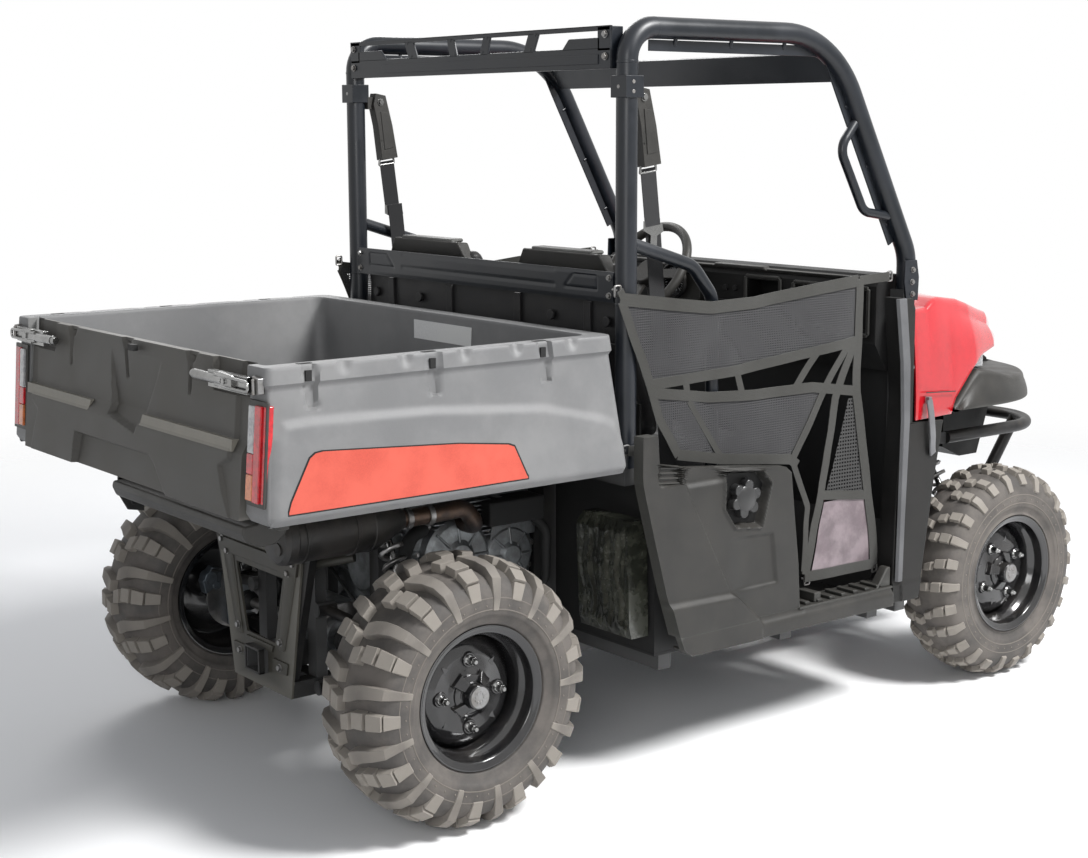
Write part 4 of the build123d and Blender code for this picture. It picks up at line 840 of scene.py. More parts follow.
def gate_height(y, z):
    """Height of the gate's skin: upper field, V, slope under the painted highlight, lower field, recesses and
    slots.
    """
    h = -11 + 15 * np.clip((931 - z) / 30, 0, 1)
    ramp = 17 * np.clip((1058 - z) / 150, 0, 1)
    h = h + emboss(y, z, V_FIELD, -1, 7) * ramp
    h = h + emboss(y, z, LOWER_FIELD, -17, 9)
    h = h - 7 * smooth(-inside(y, z, GATE_EDGE) / 9)
    for side in (-1, 1):
        recess = [(side * 404, 1100), (side * 412, 1018), (side * 600, 1020), (side * 600, 1100)]
        h = h + emboss(y, z, recess, -12, 5)
    for place in (312, 13, -305):
        slot = [(place - 9, 1080), (place + 9, 1080), (place + 7, 996), (place - 7, 996)]
        dip = [(place - 44, 1100), (place + 32, 1100), (place + 12, 1064), (place - 16, 1064)]
        h = h + emboss(y, z, slot, -12, 3.5) + emboss(y, z, dip, -8, 7)
    return np.minimum(h, gate_lean(z) - 0.5)


def gate_place(u, v, h):
    """Point of the gate's leaning face."""
    return GATE_FACE + gate_lean(v) - h, u, v


def tailgate():
    """The gate's skin, painted highlight on its slope, its latch hole as a black block of painted shade, and
    pins.
    """
    skin = panel(Shape(), [(GATE_LOW, -560, 560), (1088, -560, 560)], 3.5, gate_place, gate_height, back=30)
    skin.done("tailgate_skin", "gate_plastic", "tailgate", slot="bed_plastic", sharp=40,
              stands_for=["tailgate"])
    # Black block in place of the latch hole: painted shade, no hole is cut.
    hole = Shape().box((-512, -500), (-62, -34), (1066, 1080))
    hole.done("gate_hole_shade", "rubber", "tailgate", slot="bed_plastic")
    # Two paler sheets on the upward slope below the V: painted highlight where light falls on that slope.
    for name, inner, outer, cut in (("left", 168, 548, 14), ("right", -106, -522, 12)):
        highlight_band = panel(Shape(), [(904, inner + cut, outer), (929, inner, outer)], 4.5, gate_place,
                       lambda y, z: gate_height(y, z) + 0.5, back=-0.2)
        highlight_band.done(f"gate_painted_highlight_{name}", "gate_painted_highlight", "tailgate", slot="bed_plastic", sharp=60)
    pins = Shape().rod((-503, -552, 784), (-503, -578, 784), 7).rod((-503, 552, 784), (-503, 578, 784), 7)
    pins.done("gate_pins", "steel", "tailgate", slot="steel", bevel=0.6)


def latches():
    """Tailgate latches with their pull tubes and wire bails, and the catches on the bed."""
    latch, catch = Shape(), Shape()
    for side in (-1, 1):
        latch.box((-519, -505), (side * 430, side * 596), (1030, 1066))
        latch.tube([(-518.5, side * 372, 1050), (-518.5, side * 500, 1049)], 11, sides=18)
        latch.tube([(-518.5, side * 372, 1050), (-516, side * 360, 1050)], 9, sides=18)
        bail = [(-524, 470, 1060), (-526, 540, 1060), (-526, 612, 1058), (-526, 612, 1038),
                (-526, 540, 1038), (-524, 470, 1040)]
        latch.tube([(x, side * y, z) for x, y, z in bail], 3.6, bend=9, sides=10)
        hook = [(488, 1032), (545, 1036), (545, 1064), (488, 1068)]
        latch.prism([(side * y, z) for y, z in hook], -527, -516, "x")
        latch.bolt((-526, side * 515, 1050), BACK, 7, 4)
        keeper = [(606, 1030), (630, 1034), (630, 1066), (606, 1070)]
        catch.prism([(side * y, z) for y, z in keeper], -512, -498, "x")
        catch.rod((-515, side * 616, 1064), (-515, side * 616, 1032), 4)
    latch.done("gate_latches", "chrome", "tailgate", bevel=1.5, slot="steel")
    catch.done("gate_catches", "steel", "bed", bevel=1.5, slot="steel")


def lamp_block(shape, side, y0, y1, z0, z1, proud, back=3):
    """Block that follows the leaning corner post, proud mm behind its face."""
    rings = []
    for z in (z0, z1):
        face = BED_REAR + REAR_LEAN * (z - 762) / 325
        rings.append([(face - proud, side * y0, z), (face - proud, side * y1, z),
                      (face + back, side * y1, z), (face + back, side * y0, z)])
    shape.loft(rings)


def tail_lamps():
    """Red, clear and amber lenses in their frames, on both rear corners."""
    red, clear, amber, frames = Shape(), Shape(), Shape(), Shape()
    for side in (-1, 1):
        lamp_block(red, side, 607, 633, 812, 1010, 8)
        lamp_block(red, side, 633, 645, 812, 1010, 3, 16)
        lamp_block(red, side, 580, 607, 868, 910, 8)
        lamp_block(clear, side, 582, 606.5, 911, 1008, 8)
        lamp_block(amber, side, 580, 606.5, 814, 867, 8)
        lamp_block(frames, side, 573, 648, 803, 1019, 2.0, 4)
    red.done("lamp_red_lens", "lamp_red", "bed", bevel=2.5, slot="lamp_red", stands_for=["tail_lamps"])
    clear.done("lamp_clear_lens", "lamp_clear", "bed", bevel=2, slot="lamp_clear")
    amber.done("lamp_amber_lens", "lamp_amber", "bed", bevel=2, slot="lamp_red")
    frames.done("lamp_frames", "body_plastic", "bed", bevel=1.5, slot="bed_plastic")


# the decal's outline as (X, lowest Z, highest Z)
DECAL = [(-469, 789, 793), (-462, 789, 812), (-412, 789, 897), (-398, 789, 906), (-380, 789, 908),
         (-43, 789, 886), (88, 790, 870), (104, 790, 864), (134, 790, 797), (137, 790, 793)]


def side_decal(name, side):
    """Decal on the bed's side over a slightly larger dark edge."""
    def decal_place(u, v, h):
        """Point of the bed's leaning side."""
        return v, side * (667 - 29 * (u - 762) / 325 + h), u

    panel(Shape(), DECAL, 7, decal_place, lambda u, v: bed_side(v, u) + 0.9, back=-0.2).done(
        f"side_decal_{name}", "decal", "bed", slot="red_gloss", sharp=60)
    edge = [(x - 3 if x < 0 else x + 3, low - 3, high + 3) for x, low, high in DECAL]
    panel(Shape(), edge, 7, decal_place, lambda u, v: bed_side(v, u) + 0.4, back=-0.1).done(
        f"side_decal_edge_{name}", "rubber", "bed", slot="bed_plastic", sharp=60)


tailgate()
latches()
tail_lamps()
for name, side in SIDES:
    side_decal(name, side)
Shape().box((361, 364.5), (-140, 115), (1014, 1063)).done("front_wall_label", "label", "bed", bevel=0.5)


# ---------------------------------------------------------------- nets
NET_Y = 612.5      # the nets' plane

# panels' outlines: upper and lower as (X, lowest Z, highest Z), coarse and patch as (Z, rear X, front X)
NET_UPPER = [(446, 1150, 1164), (470, 1095, 1160), (536, 960, 1152), (614, 953, 1140), (728, 960, 1124),
             (880, 974, 1127), (1081, 990, 1145), (1237, 1005, 1160), (1262, 1006, 1162)]
NET_LOWER = [(548, 925, 940), (580, 862, 932), (636, 784, 922), (733, 758, 908), (886, 738, 898),
             (1010, 726, 900), (1050, 776, 902), (1128, 880, 896), (1140, 888, 894)]
NET_COARSE = [(598, 1148, 1300), (640, 1163, 1294), (740, 1194, 1282), (857, 1228, 1262)]
NET_PATCH = [(406, 1100, 1326), (500, 1124, 1312), (592, 1146, 1300)]

# webbing as (points (X, Z), width)
WEBBING = (
    ([(441, 1166), (614, 1142), (728, 1128), (880, 1130), (1081, 1150), (1250, 1164)], 30),
    ([(446, 1160), (540, 958), (572, 868), (632, 776)], 24),
    ([(540, 956), (830, 966), (1096, 992), (1250, 1008)], 26),
    ([(548, 936), (733, 908), (886, 900), (1091, 900), (1250, 876)], 26),
    ([(630, 778), (771, 752), (891, 738), (1016, 722), (1040, 704)], 26),
    ([(1256, 1168), (1256, 870), (1308, 594), (1345, 392)], 30),
    ([(1112, 996), (1027, 902)], 20), ([(1217, 1000), (1128, 880), (1024, 724)], 22),
    ([(1240, 1000), (1176, 863), (1132, 618), (1078, 410)], 26),
    ([(652, 958), (662, 914)], 20), ([(824, 966), (843, 900)], 20), ([(668, 905), (772, 752)], 16),
    ([(1140, 612), (1305, 592)], 24), ([(1076, 404), (1340, 398)], 28),
    ([(1024, 712), (1082, 590), (1072, 420)], 18), ([(560, 800), (470, 806)], 24),
    ([(452, 1166), (440, 1186)], 20),
)


def sag(x, z, seed):
    """How far the net stands off its plane: soft folds and a belly."""
    p = Vector((x / 260, seed, z / 210))
    return 9 * noise.noise(p) + 4 * noise.noise(p * 2.7) + 3


def cloth(name, side, rows_by_x, rows, finish_name, seed):
    """A flat-cut panel of the net; rows are (x, z, z), or (z, x, x) where rows_by_x is false."""
    def place(u, v, h):
        """Point of the sagging net."""
        x, z = (v, u) if rows_by_x else (u, v)
        y = np.vectorize(lambda a, b: sag(a, b, seed))(x, z)
        return x, side * (NET_Y + y + h), z

    shape = panel(Shape(), rows, 14, place, lambda u, v: np.zeros(u.shape), back=1.0)
    return shape.done(name, finish_name, slot="net_mesh", sharp=60)


def band(shape, side, points, width, seed, lift=1.2, thick=2.0):
    """Flat webbing sewn along points (x, z)."""
    path = rounded([(x, 0, z) for x, z in points], 30, 5)
    dense = []
    for a, b in zip(path, path[1:]):
        count = max(1, int((b - a).length / 25))
        dense += [a + (b - a) * k / count for k in range(count)]
    dense.append(path[-1])
    rings = []
    for i, p in enumerate(dense):
        run = dense[min(i + 1, len(dense) - 1)] - dense[max(i - 1, 0)]
        across = Vector((-run.z, 0, run.x)).normalized() * width / 2
        ring = []
        for sign, out in ((-1, lift), (1, lift), (1, lift + thick), (-1, lift + thick)):
            q = p + across * sign
            ring.append((q.x, side * (NET_Y + sag(q.x, q.z, seed) + out), q.z))
        rings.append(ring)
    return shape.loft(rings)


def side_net(name, side):
    """Four cloth panels held stretched on webbing, which hangs on hooks."""
    seed = 3.0 + side
    for part, by_x, rows, finish_name in (("upper", True, NET_UPPER, "mesh_fine"),
                                          ("lower", True, NET_LOWER, "mesh_fine"),
                                          ("coarse", False, NET_COARSE, "mesh_coarse"),
                                          ("patch", False, NET_PATCH, "patch_vinyl")):
        cloth(f"net_{part}_{name}", side, by_x, rows, finish_name, seed)
    web = Shape()
    for points, width in WEBBING:
        band(web, side, points, width, seed)
    band(web, side, [(1256, 1163), (1372, 1168)], 24, seed, lift=0)
    made = web.done(f"net_webbing_{name}", "web", slot="net_mesh", sharp=60, stands_for=[f"side_net_{name}"])
    hooks = Shape()
    y = side * 612
    for x, z in ((1376, 1168), (440, 1184), (468, 806), (1090, 392), (1350, 386)):
        ring = [(x - 8, y, z - 12), (x + 10, y, z - 12), (x + 10, y, z + 12), (x - 8, y, z + 12),
                (x - 8, y, z - 12)]
        hooks.tube(ring, 2.6, bend=5, sides=8)
        hooks.tube([(x, y, z), (x + (10 if x > 1300 else -6), side * 600, z + 3)], 3.2, sides=8)
    hooks.done(f"net_hooks_{name}", "steel", slot="steel")


for name, side in SIDES:
    side_net(name, side)


# ---------------------------------------------------------------- seats
CLOTH_FRAMES = 16
SWELL = 0.012         # metres that the cloth simulation may move a point at most


def bake(made):
    """Applies every modifier of a mesh object to its mesh."""
    graph = bpy.context.evaluated_depsgraph_get()
    graph.update()
    mesh = bpy.data.meshes.new_from_object(made.evaluated_get(graph))
    made.modifiers.clear()
    made.data = mesh


def points_of(made):
    """Points of a mesh object as an array."""
    co = np.zeros(len(made.data.vertices) * 3, np.float32)
    made.data.vertices.foreach_get("co", co)
    return co.reshape(-1, 3).astype(float)


def cushion(name, outline, y0, y1, channels, stands_for):
    """Padded block: a grid skin over an (x, z) outline, swollen by a cloth simulation, with sewn channels."""
    block = Shape().prism(outline, y0, y1)
    made = block.done(name, "seat_vinyl", slot="seat_vinyl", stands_for=[stands_for])
    made.parent = None
    cut = made.modifiers.new("round", "BEVEL")
    cut.width, cut.segments, cut.limit_method = 0.028, 3, "ANGLE"
    grid = made.modifiers.new("grid", "REMESH")
    grid.mode, grid.voxel_size = "VOXEL", 0.0095
    bake(made)
    before = points_of(made)
    soft = made.modifiers.new("cloth", "CLOTH")
    soft.settings.use_pressure = True
    soft.settings.uniform_pressure_force = 4
    soft.settings.effector_weights.gravity = 0
    soft.settings.quality = 4
    soft.point_cache.frame_start, soft.point_cache.frame_end = 1, CLOTH_FRAMES
    for number in range(1, CLOTH_FRAMES + 1):
        bpy.context.scene.frame_set(number)
    bake(made)
    bpy.context.scene.frame_set(1)
    shift = points_of(made) - before
    length = np.linalg.norm(shift, axis=1, keepdims=True)
    shift *= np.minimum(1, SWELL / np.maximum(length, 1e-9))
    swollen = before + shift
    swollen += channels(swollen * 1000 + np.array([MIDDLE, 0, 0])) / 1000
    made.data.vertices.foreach_set("co", swollen.astype(np.float32).ravel())
    made.data.update()
    made.data.shade_smooth()
    finer = made.modifiers.new("subdivide", "SUBSURF")
    finer.levels = finer.render_levels = 1
    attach(made, "chassis")
    return made


def stitching(across, along, from_bar):
    """Share of the full depth in a sewn ring, where across or along is 1, and in the bar over its middle."""
    ring = np.maximum(across, along)
    return np.exp(-((ring - 1) * 26) ** 2) + np.exp(-(from_bar / 6) ** 2) * (ring < 1)


def seat(name, side):
    """Cushion, back and the shell behind the back's top."""
    middle = 295 * side

    def seat_channels(mm):
        """Moves of the cushion's points, all given in layout millimetres."""
        top = smooth((mm[:, 2] - 735) / 15)
        across, along = np.abs(mm[:, 1] - middle) / 150, np.abs(mm[:, 0] - 862) / 165
        hollow = np.exp(-(np.maximum(across, along) * 1.4) ** 2)
        push = np.zeros(mm.shape)
        push[:, 2] = -6 * stitching(across, along, mm[:, 0] - 862) * top - 10 * top * hollow
        return push

    def back_channels(mm):
        """Moves of the back's points."""
        front = smooth((mm[:, 0] - np.interp(mm[:, 2], [770, 1262], [715, 592]) + 40) / 20)
        across, along = np.abs(mm[:, 1] - middle) / 150, np.abs(mm[:, 2] - 1000) / 190
        push = np.zeros(mm.shape)
        push[:, 0] = -6 * stitching(across, along, mm[:, 2] - 1000) * front
        return push

    pad = [(648, 650), (1066, 650), (1066, 748), (1000, 760), (648, 752)]
    cushion(f"seat_pad_{name}", pad, middle - 205, middle + 205, seat_channels, "seat_cushions")
    back = [(632, 790), (704, 790), (584, 1240), (536, 1240)]
    cushion(f"seat_back_pad_{name}", back, middle - 198, middle + 198, back_channels, "seat_backs")
    shell = Shape()
    shell.loft([[(low, middle - 190, z0), (low, middle + 190, z0),
                 (top, middle + 150, z1), (top, middle - 150, z1)]
                for low, z0, top, z1 in ((528, 1200, 520, 1256), (556, 1196, 560, 1252))])
    shell.box((524, 566), (middle - 120, middle + 120), (1252, 1262))
    shell.done(f"seat_shell_{name}", "body_plastic", bevel=9, slot="body_plastic", steps=3)


for name, side in SIDES:
    seat(name, side)


# ---------------------------------------------------------------- side panels, sills and fuel cap
HEXAGON = [(742, 729), (858, 718), (887, 684), (859, 581), (773, 591), (738, 640)]   # the fuel cap's pocket
CAP = (809, 655)                                                # X and Z of the cap's axis


def side_height(x, z):
    """Relief of the panel under the seat: a proud rear field, its ledge, a pressed rectangle and louvres."""
    h = np.full(x.shape, -4.0)
    ax = np.interp(z, [338, 432, 712, 860], [862, 756, 607, 560])
    h = h + 8 * smooth((ax - x) / 7)
    low = np.interp(x, [455, 771, 862], [436, 428, 340])
    h = h + 11 * np.clip((low - z) / 14, 0, 1)
    h = h - 9 * smooth((x - ax) / 6) * smooth((z - 700) / 20) * smooth((760 - x) / 60)
    pressed = [(700, 566), (906, 558), (924, 423), (700, 421)]
    h = h + emboss(x, z, pressed, -6, 9) * smooth((x - 740) / 90)
    h = h + emboss(x, z, [(518, 776), (586, 761), (586, 718), (513, 723)], -10, 3)
    return h + emboss(x, z, [(1010, 330), (1040, 398), (1330, 394), (1352, 330)], 3, 6)


def right_height(x, z):
    """The same with the fuel cap's pocket and its raised rim."""
    h = side_height(x, z)
    ring = inside(x, z, HEXAGON)
    return h + 6 * smooth(1 - np.abs(ring + 5) / 6) - 22 * np.clip((ring + 2) / 6, 0, 1)


def side_panel(name, side):
    """Skin under the seat, sill, their returns, louvres and the sill's treads."""
    def side_place(u, v, h):
        """Point of the upright side."""
        return u, side * (676 + h), v

    rows = [(346, 578, 1004), (427, 551, 998), (460, 540, 996), (600, 501, 977), (703, 473, 964),
            (719, 469, 944), (737, 465, 800), (756, 464, 617), (776, 464, 515), (806, 464, 512),
            (843, 464, 508), (846, 466, 506)]
    skin = panel(Shape(), rows, 4, side_place, right_height if side < 0 else side_height, back=30)
    skin.done(f"side_skin_{name}", "body_plastic", slot="body_plastic", sharp=40,
              stands_for=[f"side_panel_{name}"])
    sill_rows = [(294, 617, 1350), (312, 592, 1350), (345.5, 578, 1350)]
    sill = panel(Shape(), sill_rows, 6, side_place, side_height)
    sill.done(f"sill_skin_{name}", "body_plastic", slot="body_plastic", sharp=40)
    rims = Shape()
    lower = [(592, 312), (617, 293), (1350, 293), (1350, 299), (619, 299), (597, 316)]
    rims.prism(lower, side * 646, side * 672)
    rims.prism([(1000, 341), (1354, 341), (1354, 347), (1000, 347)], side * 590, side * 676)
    rims.done(f"side_returns_{name}", "body_plastic", bevel=1.5, slot="body_plastic")
    slats = Shape()
    for k in range(4):
        z = 729 + k * 11.5
        slats.loft([[(x, side * 664, z + tilt), (x, side * 675, z - 3 + tilt),
                     (x, side * 675, z + tilt), (x, side * 664, z + 4 + tilt)]
                    for x, tilt in ((515, 2 + k * 1.2), (586, -4 + k * 0.4))])
    slats.done(f"louvres_{name}", "body_plastic", bevel=0.8, slot="body_plastic")
    steps = Shape()
    for x in range(1030, 1301, 45):
        steps.prism([(x, 346), (x + 24, 346), (x + 14, 356), (x - 2, 356)], side * 606, side * 668)
    steps.prism([(1300, 346), (1352, 346), (1352, 398), (1338, 398)], side * 640, side * 668)
    steps.box((1066, 1090), (side * 600, side * 664), (347, 372))
    steps.done(f"sill_treads_{name}", "body_plastic", bevel=3, slot="body_plastic")


def fuel_cap():
    """Six-lobed knob in its pocket, on the right side only, with a dark sheet of painted shade on the
    pocket's floor.
    """
    x, z = CAP
    cap = Shape()
    knob = [(0, 0), (30, 0), (34, 3), (36, 10), (34, 24), (24, 30), (0, 31)]
    cap.lathe(knob, (x, -648, z), (0, -1, 0), 48)
    for c, s in fan(6, 0.3):
        cap.rod((x + 35 * c, -652, z + 35 * s), (x + 34 * c, -674, z + 34 * s), 15.5, 14, 20)
    cap.rod((x, -640, z), (x, -651, z), 30, sides=32)
    cap.done("fuel_cap_knob", "cap_black", bevel=3, slot="body_plastic", stands_for=["fuel_cap"], steps=3)
    # The recess is part of the same skin; this dark sheet on its floor is painted shade.
    pocket_shade_outline = [(x + (px - x) * 0.93, 658 + (pz - 658) * 0.93) for px, pz in HEXAGON]
    pocket = Shape().prism(pocket_shade_outline, -645, -653)
    pocket.done("fuel_pocket_shade", "dark_plastic", bevel=1, slot="body_plastic")


for name, side in SIDES:
    side_panel(name, side)
fuel_cap()


# ---------------------------------------------------------------- cowls
# the cowl's outline as (Z, rearmost X, foremost X), and the trim strip's
COWL = [(298, 1358, 1455), (351, 1359, 1466), (531, 1362, 1494), (600, 1366, 1504), (777, 1376, 1537),
        (782, 1377, 1412), (851, 1380, 1412), (980, 1368, 1411), (1085, 1359, 1410), (1113, 1357, 1398)]
TRIM = [(1115, 1333, 1372), (947, 1357, 1394), (793, 1366, 1399), (528, 1364, 1391), (356, 1362, 1388)]

# plates behind the cowl as (outline in X and Z, inner |Y|, outer |Y|)
COWL_RETURNS = (
    ([(1356, 1115), (1372, 1115), (1396, 851), (1378, 531), (1372, 300), (1356, 300), (1362, 531),
      (1380, 851)], 618, 668),
    ([(1504, 600), (1510, 598), (1542, 774), (1537, 778)], 618, 668),
    ([(1400, 690), (1520, 690), (1536, 776), (1536, 826), (1400, 826)], 632, 637),
    ([(1455, 297), (1461, 297), (1472, 351), (1510, 600), (1504, 600), (1466, 351)], 618, 668),
    ([(1356, 297), (1458, 297), (1458, 303), (1356, 303)], 618, 668),
)


def cowl_height(x, z):
    """The cowl steps in ahead of the trim strip and out again at its foot."""
    edge = np.interp(z, [297, 351, 531, 851, 1115], [1392, 1388, 1386, 1400, 1376])
    return 3 * smooth((352 - z) / 3) - 5 * smooth((edge - x) / 4)


def cowl(name, side):
    """Skin, returns and trim strip of one front cowl."""
    skin = panel(Shape(), COWL, 5, lambda u, v, h: (u, side * (675 + h), v), cowl_height, back=6)
    skin.done(f"cowl_skin_{name}", "cowl_plastic", slot="body_plastic", sharp=40, stands_for=["front_cowls"])
    inner = Shape()
    for outline, low, high in COWL_RETURNS:
        inner.prism(outline, side * low, side * high)
    inner.done(f"cowl_returns_{name}", "dark_plastic", bevel=1.5, slot="body_plastic")
    trim = Shape()
    trim.loft([[(a, side * 674, z), (a + 5, side * 683, z), (b - 5, side * 683, z), (b, side * 674, z)]
               for z, a, b in TRIM])
    trim.done(f"cowl_trim_{name}", "trim", bevel=1.5, slot="body_plastic", sharp=40)


for name, side in SIDES:
    cowl(name, side)


# ---------------------------------------------------------------- hood
# the hood's measures over X, from its rear edge to the nose: half width, heights of its side's top and foot,
# how far the side's shoulder lies below its top, how much the crown rises, and how far the side leans in
HOOD = {
    "half": ([1429, 1700, 1830, 1960, 2060, 2120, 2148], [672, 650, 606, 505, 385, 245, 70]),
    "top": ([1429, 1500, 1530, 1560, 1650, 1790, 1900, 2060, 2148],
            [1079, 1081, 1100, 1104, 1092, 1052, 1026, 998, 968]),
    "low": ([1429, 1594, 1604, 1691, 1740, 1850, 2000, 2148], [786, 786, 822, 908, 934, 950, 952, 952]),
    "shoulder": ([1429, 1540, 1700, 2000], [14, 18, 34, 36]),
    "crown": ([1429, 1560, 1800, 2148], [0, 14, 22, 8]),
    "lean": ([1429, 1700, 1900, 2148], [22, 34, 26, 10]),
}
HOOD_REAR, HOOD_NOSE = 1429, 2148
HOOD_X = [1429, 1460, 1500, 1540, 1600, 1650, 1700, 1760, 1830, 1900, 1960, 2010, 2060, 2100, 2130, 2148]
SILL_END = 1499         # the middle of the hood starts here, ahead of the dash


def hood_ring(x):
    """Half section of the hood at one station, from the flank's lower edge over to the centre line."""
    half, top, low, drop, rise_of_crown, lean = (float(np.interp(x, *table)) for table in HOOD.values())
    shoulder = max(low + 8, top - drop)
    crown = top + rise_of_crown
    points = []
    for k in range(13):
        t = k / 12
        points.append((half - lean * t * t, low + (shoulder - low) * t))
    for k in range(1, 9):
        t = radians(90 * k / 8)
        y = half - lean - 17 * (1 - cos(t)) * min(1, half / 120)
        points.append((y, shoulder + (top - shoulder) * sin(t)))
    wide = points[-1][0]
    for k in range(1, 15):
        t = k / 14
        z = top + (crown - top) * smooth(np.array(t * 1.9))
        z += 7 * float(smooth(np.array((t - 0.42) / 0.08))) * float(smooth(np.array((x - 1560) / 60.0)))
        points.append((wide * (1 - t), float(z)))
    return points


def hood():
    """The hood's shell, with its sheet's thickness and rounded edges as modifiers."""
    stations = sorted(x for x in set(HOOD_X + [HOOD_REAR + i * 18 for i in range(40)]) if x <= HOOD_NOSE)
    rings = []
    for x in stations:
        half = hood_ring(x)
        rings.append([(x, -y, z) for y, z in half] + [(x, y, z) for y, z in reversed(half[:-1])])
    count = len(rings[0])
    faces = []
    for r, x in enumerate(stations[:-1]):
        for i in range(count - 1):
            if x < SILL_END and 20 < i < count - 22:
                continue
            faces.append([r * count + i, r * count + i + 1, (r + 1) * count + i + 1, (r + 1) * count + i])
    shell = Shape().add([p for ring in rings for p in ring], faces)
    made = shell.done("hood_shell", "red_gloss", "hood", slot="red_gloss", sharp=38, stands_for=["hood"])
    thick = made.modifiers.new("sheet", "SOLIDIFY")
    thick.thickness = 0.005
    thick.offset = -1
    edge = made.modifiers.new("bevel", "BEVEL")
    edge.width, edge.segments, edge.limit_method = 0.0015, 2, "ANGLE"


def hood_fittings():
    """Black line of painted shade on each flank's crease, hinge tabs under the nose and rubber straps on the
    cowls.
    """
    crease_shade, tabs, strap = Shape(), Shape(), Shape()
    for _, side in SIDES:
        # A thin black strap along the flank's crease: painted shade in the crease.
        crease_shade.strap([(1462, side * 677.5, 858), (1594, side * 668, 849)], 3, 1.2)
        tabs.box((2086, 2114), (side * 190, side * 200), (931, 990))
        route = rounded([(1470, side * 682, 838), (1474, side * 687, 800), (1479, side * 690, 740),
                         (1486, side * 684, 702), (1494, side * 680, 690)], 30, 5)
        strap.sweep(route, oval(22, 6, 2.5, 3), level=(0, 1, 0))
        strap.rod((1479, side * 684, 752), (1479, side * 692, 752), 8)
        strap.box((1466, 1478), (side * 672, side * 684), (826, 846))
    crease_shade.done("hood_crease_shade", "rim_black", "hood", slot="red_gloss")
    tabs.done("hood_hinge_tabs", "frame_black", "hood", bevel=2, slot="frame_black")
    strap.done("hood_straps", "latch_rubber", slot="body_plastic", bevel=1)


hood()
hood_fittings()


# ---------------------------------------------------------------- front fenders
FENDER_FOOT = 797
# plan of the fender's outer edge from its rear end to the nose as (X, Y), and its top's height over X
FENDER_PLAN = [(1602, 680), (1720, 682), (1810, 678), (1900, 656), (1990, 606), (2080, 526), (2140, 432),
               (2168, 334)]
FENDER_TOP = ([1602, 1622, 1690, 1760, 1866, 2000, 2175], [806, 826, 900, 890, 866, 858, 852])


def fenders():
    """Skin of both front fenders: an upright side, a rounded edge and a flat top."""
    rings = []
    for x, y in fine_profile(FENDER_PLAN, 5):
        top = float(np.interp(x, *FENDER_TOP))
        deep = max(332.0, y - 230)
        ring = []
        for k in range(7):
            t = radians(15 * k)
            ring.append((x, y - 16 * (1 - cos(t)), FENDER_FOOT + (top - FENDER_FOOT - 16) * (k / 6)))
        for k in range(1, 7):
            t = radians(15 * k)
            ring.append((x, y - 16 - 16 * (1 - cos(t)), top - 16 + 16 * sin(t)))
        ring += [(x, (y - 32 + deep) / 2, top + 2), (x, deep, top - 2), (x, deep, top - 9),
                 (x, y - 40, top - 8), (x, y - 8, FENDER_FOOT)]
        rings.append(ring)
    both = Shape().loft(rings).flip()
    both.done("fender_skins", "body_plastic", slot="body_plastic", sharp=40, stands_for=["front_fenders"])


fenders()


# ---------------------------------------------------------------- cab frame details
ROOF, POST, TUBE_Y = 1783.6, 490.0, 584     # Z of the roof tubes, X of the rear posts, |Y| of both sides
PILLAR_ANGLE = radians(28.8)


def top_panel():
    """Stamped rear roof panel: a band, two outer steps and four slanted ribs between the openings."""
    shape = Shape()
    x0, x1 = 460.8, 466.4
    for low, high in ((1690, 1738), (1776, 1786)):
        shape.prism([(-558, low), (558, low), (558, high), (-558, high)], x0, x1, "x")
    for s in (1, -1):
        shape.prism([(s * 512, 1730), (s * 558, 1730), (s * 558, 1786), (s * 512, 1786)], x0, x1, "x")
        shape.prism([(s * 378, 1734), (s * 520, 1734), (s * 520, 1761), (s * 406, 1761)], x0, x1, "x")
        for top, low in (((250, 292), (228, 270)), ((64, 95), (48, 82))):
            rib = [(low[0], 1734), (low[1], 1734), (top[1], 1780), (top[0], 1780)]
            shape.prism([(s * y, z) for y, z in rib], x0, x1, "x")
        shape.prism([(s * 550, 1690), (s * 558, 1690), (s * 558, 1786), (s * 550, 1786)], x1 - 1, 500, "x")
    shape.box((461, 478), (-545, 545), (1690, 1693))
    shape.box((461, 474), (-545, 545), (1783, 1786))
    shape.done("top_panel_sheet", "cab_tube", bevel=1.6, slot="cab_tube", stands_for=["rear_top_panel"])
    relief = Shape()
    relief.prism([(-516, 1701), (392, 1701), (404, 1712), (392, 1723), (-516, 1723)], 458.4, 461.5, "x")
    for s in (1, -1):
        for rib in (270, 72):
            for z in (1742, 1776):
                y = s * (rib - 12 + (z - 1742) * 0.55)
                relief.rod((459.6, y, z), (461.5, y, z), 4, sides=12)
    relief.done("top_panel_relief", "cab_tube", bevel=1.4, slot="cab_tube")


def back_panel_height(y, z):
    """Relief of the panel behind the seats: a raised field, two pressed frames and two grooves."""
    h = 2.2 * smooth((z - 1152) / 6) * smooth((1219 - z) / 4)
    for s in (1, -1):
        box = [(s * 497, 1178), (s * 497, 1209), (s * 408, 1209), (s * 376, 1178)]
        h = h - 3 * smooth(1 - np.abs(inside(y, z, box)) / 3.2)
    h = h + groove(y, z, [(336, 1180), (-336, 1180)], 4, -3)
    return h + groove(y, z, [(336, 1213), (-336, 1213)], 3, -2)


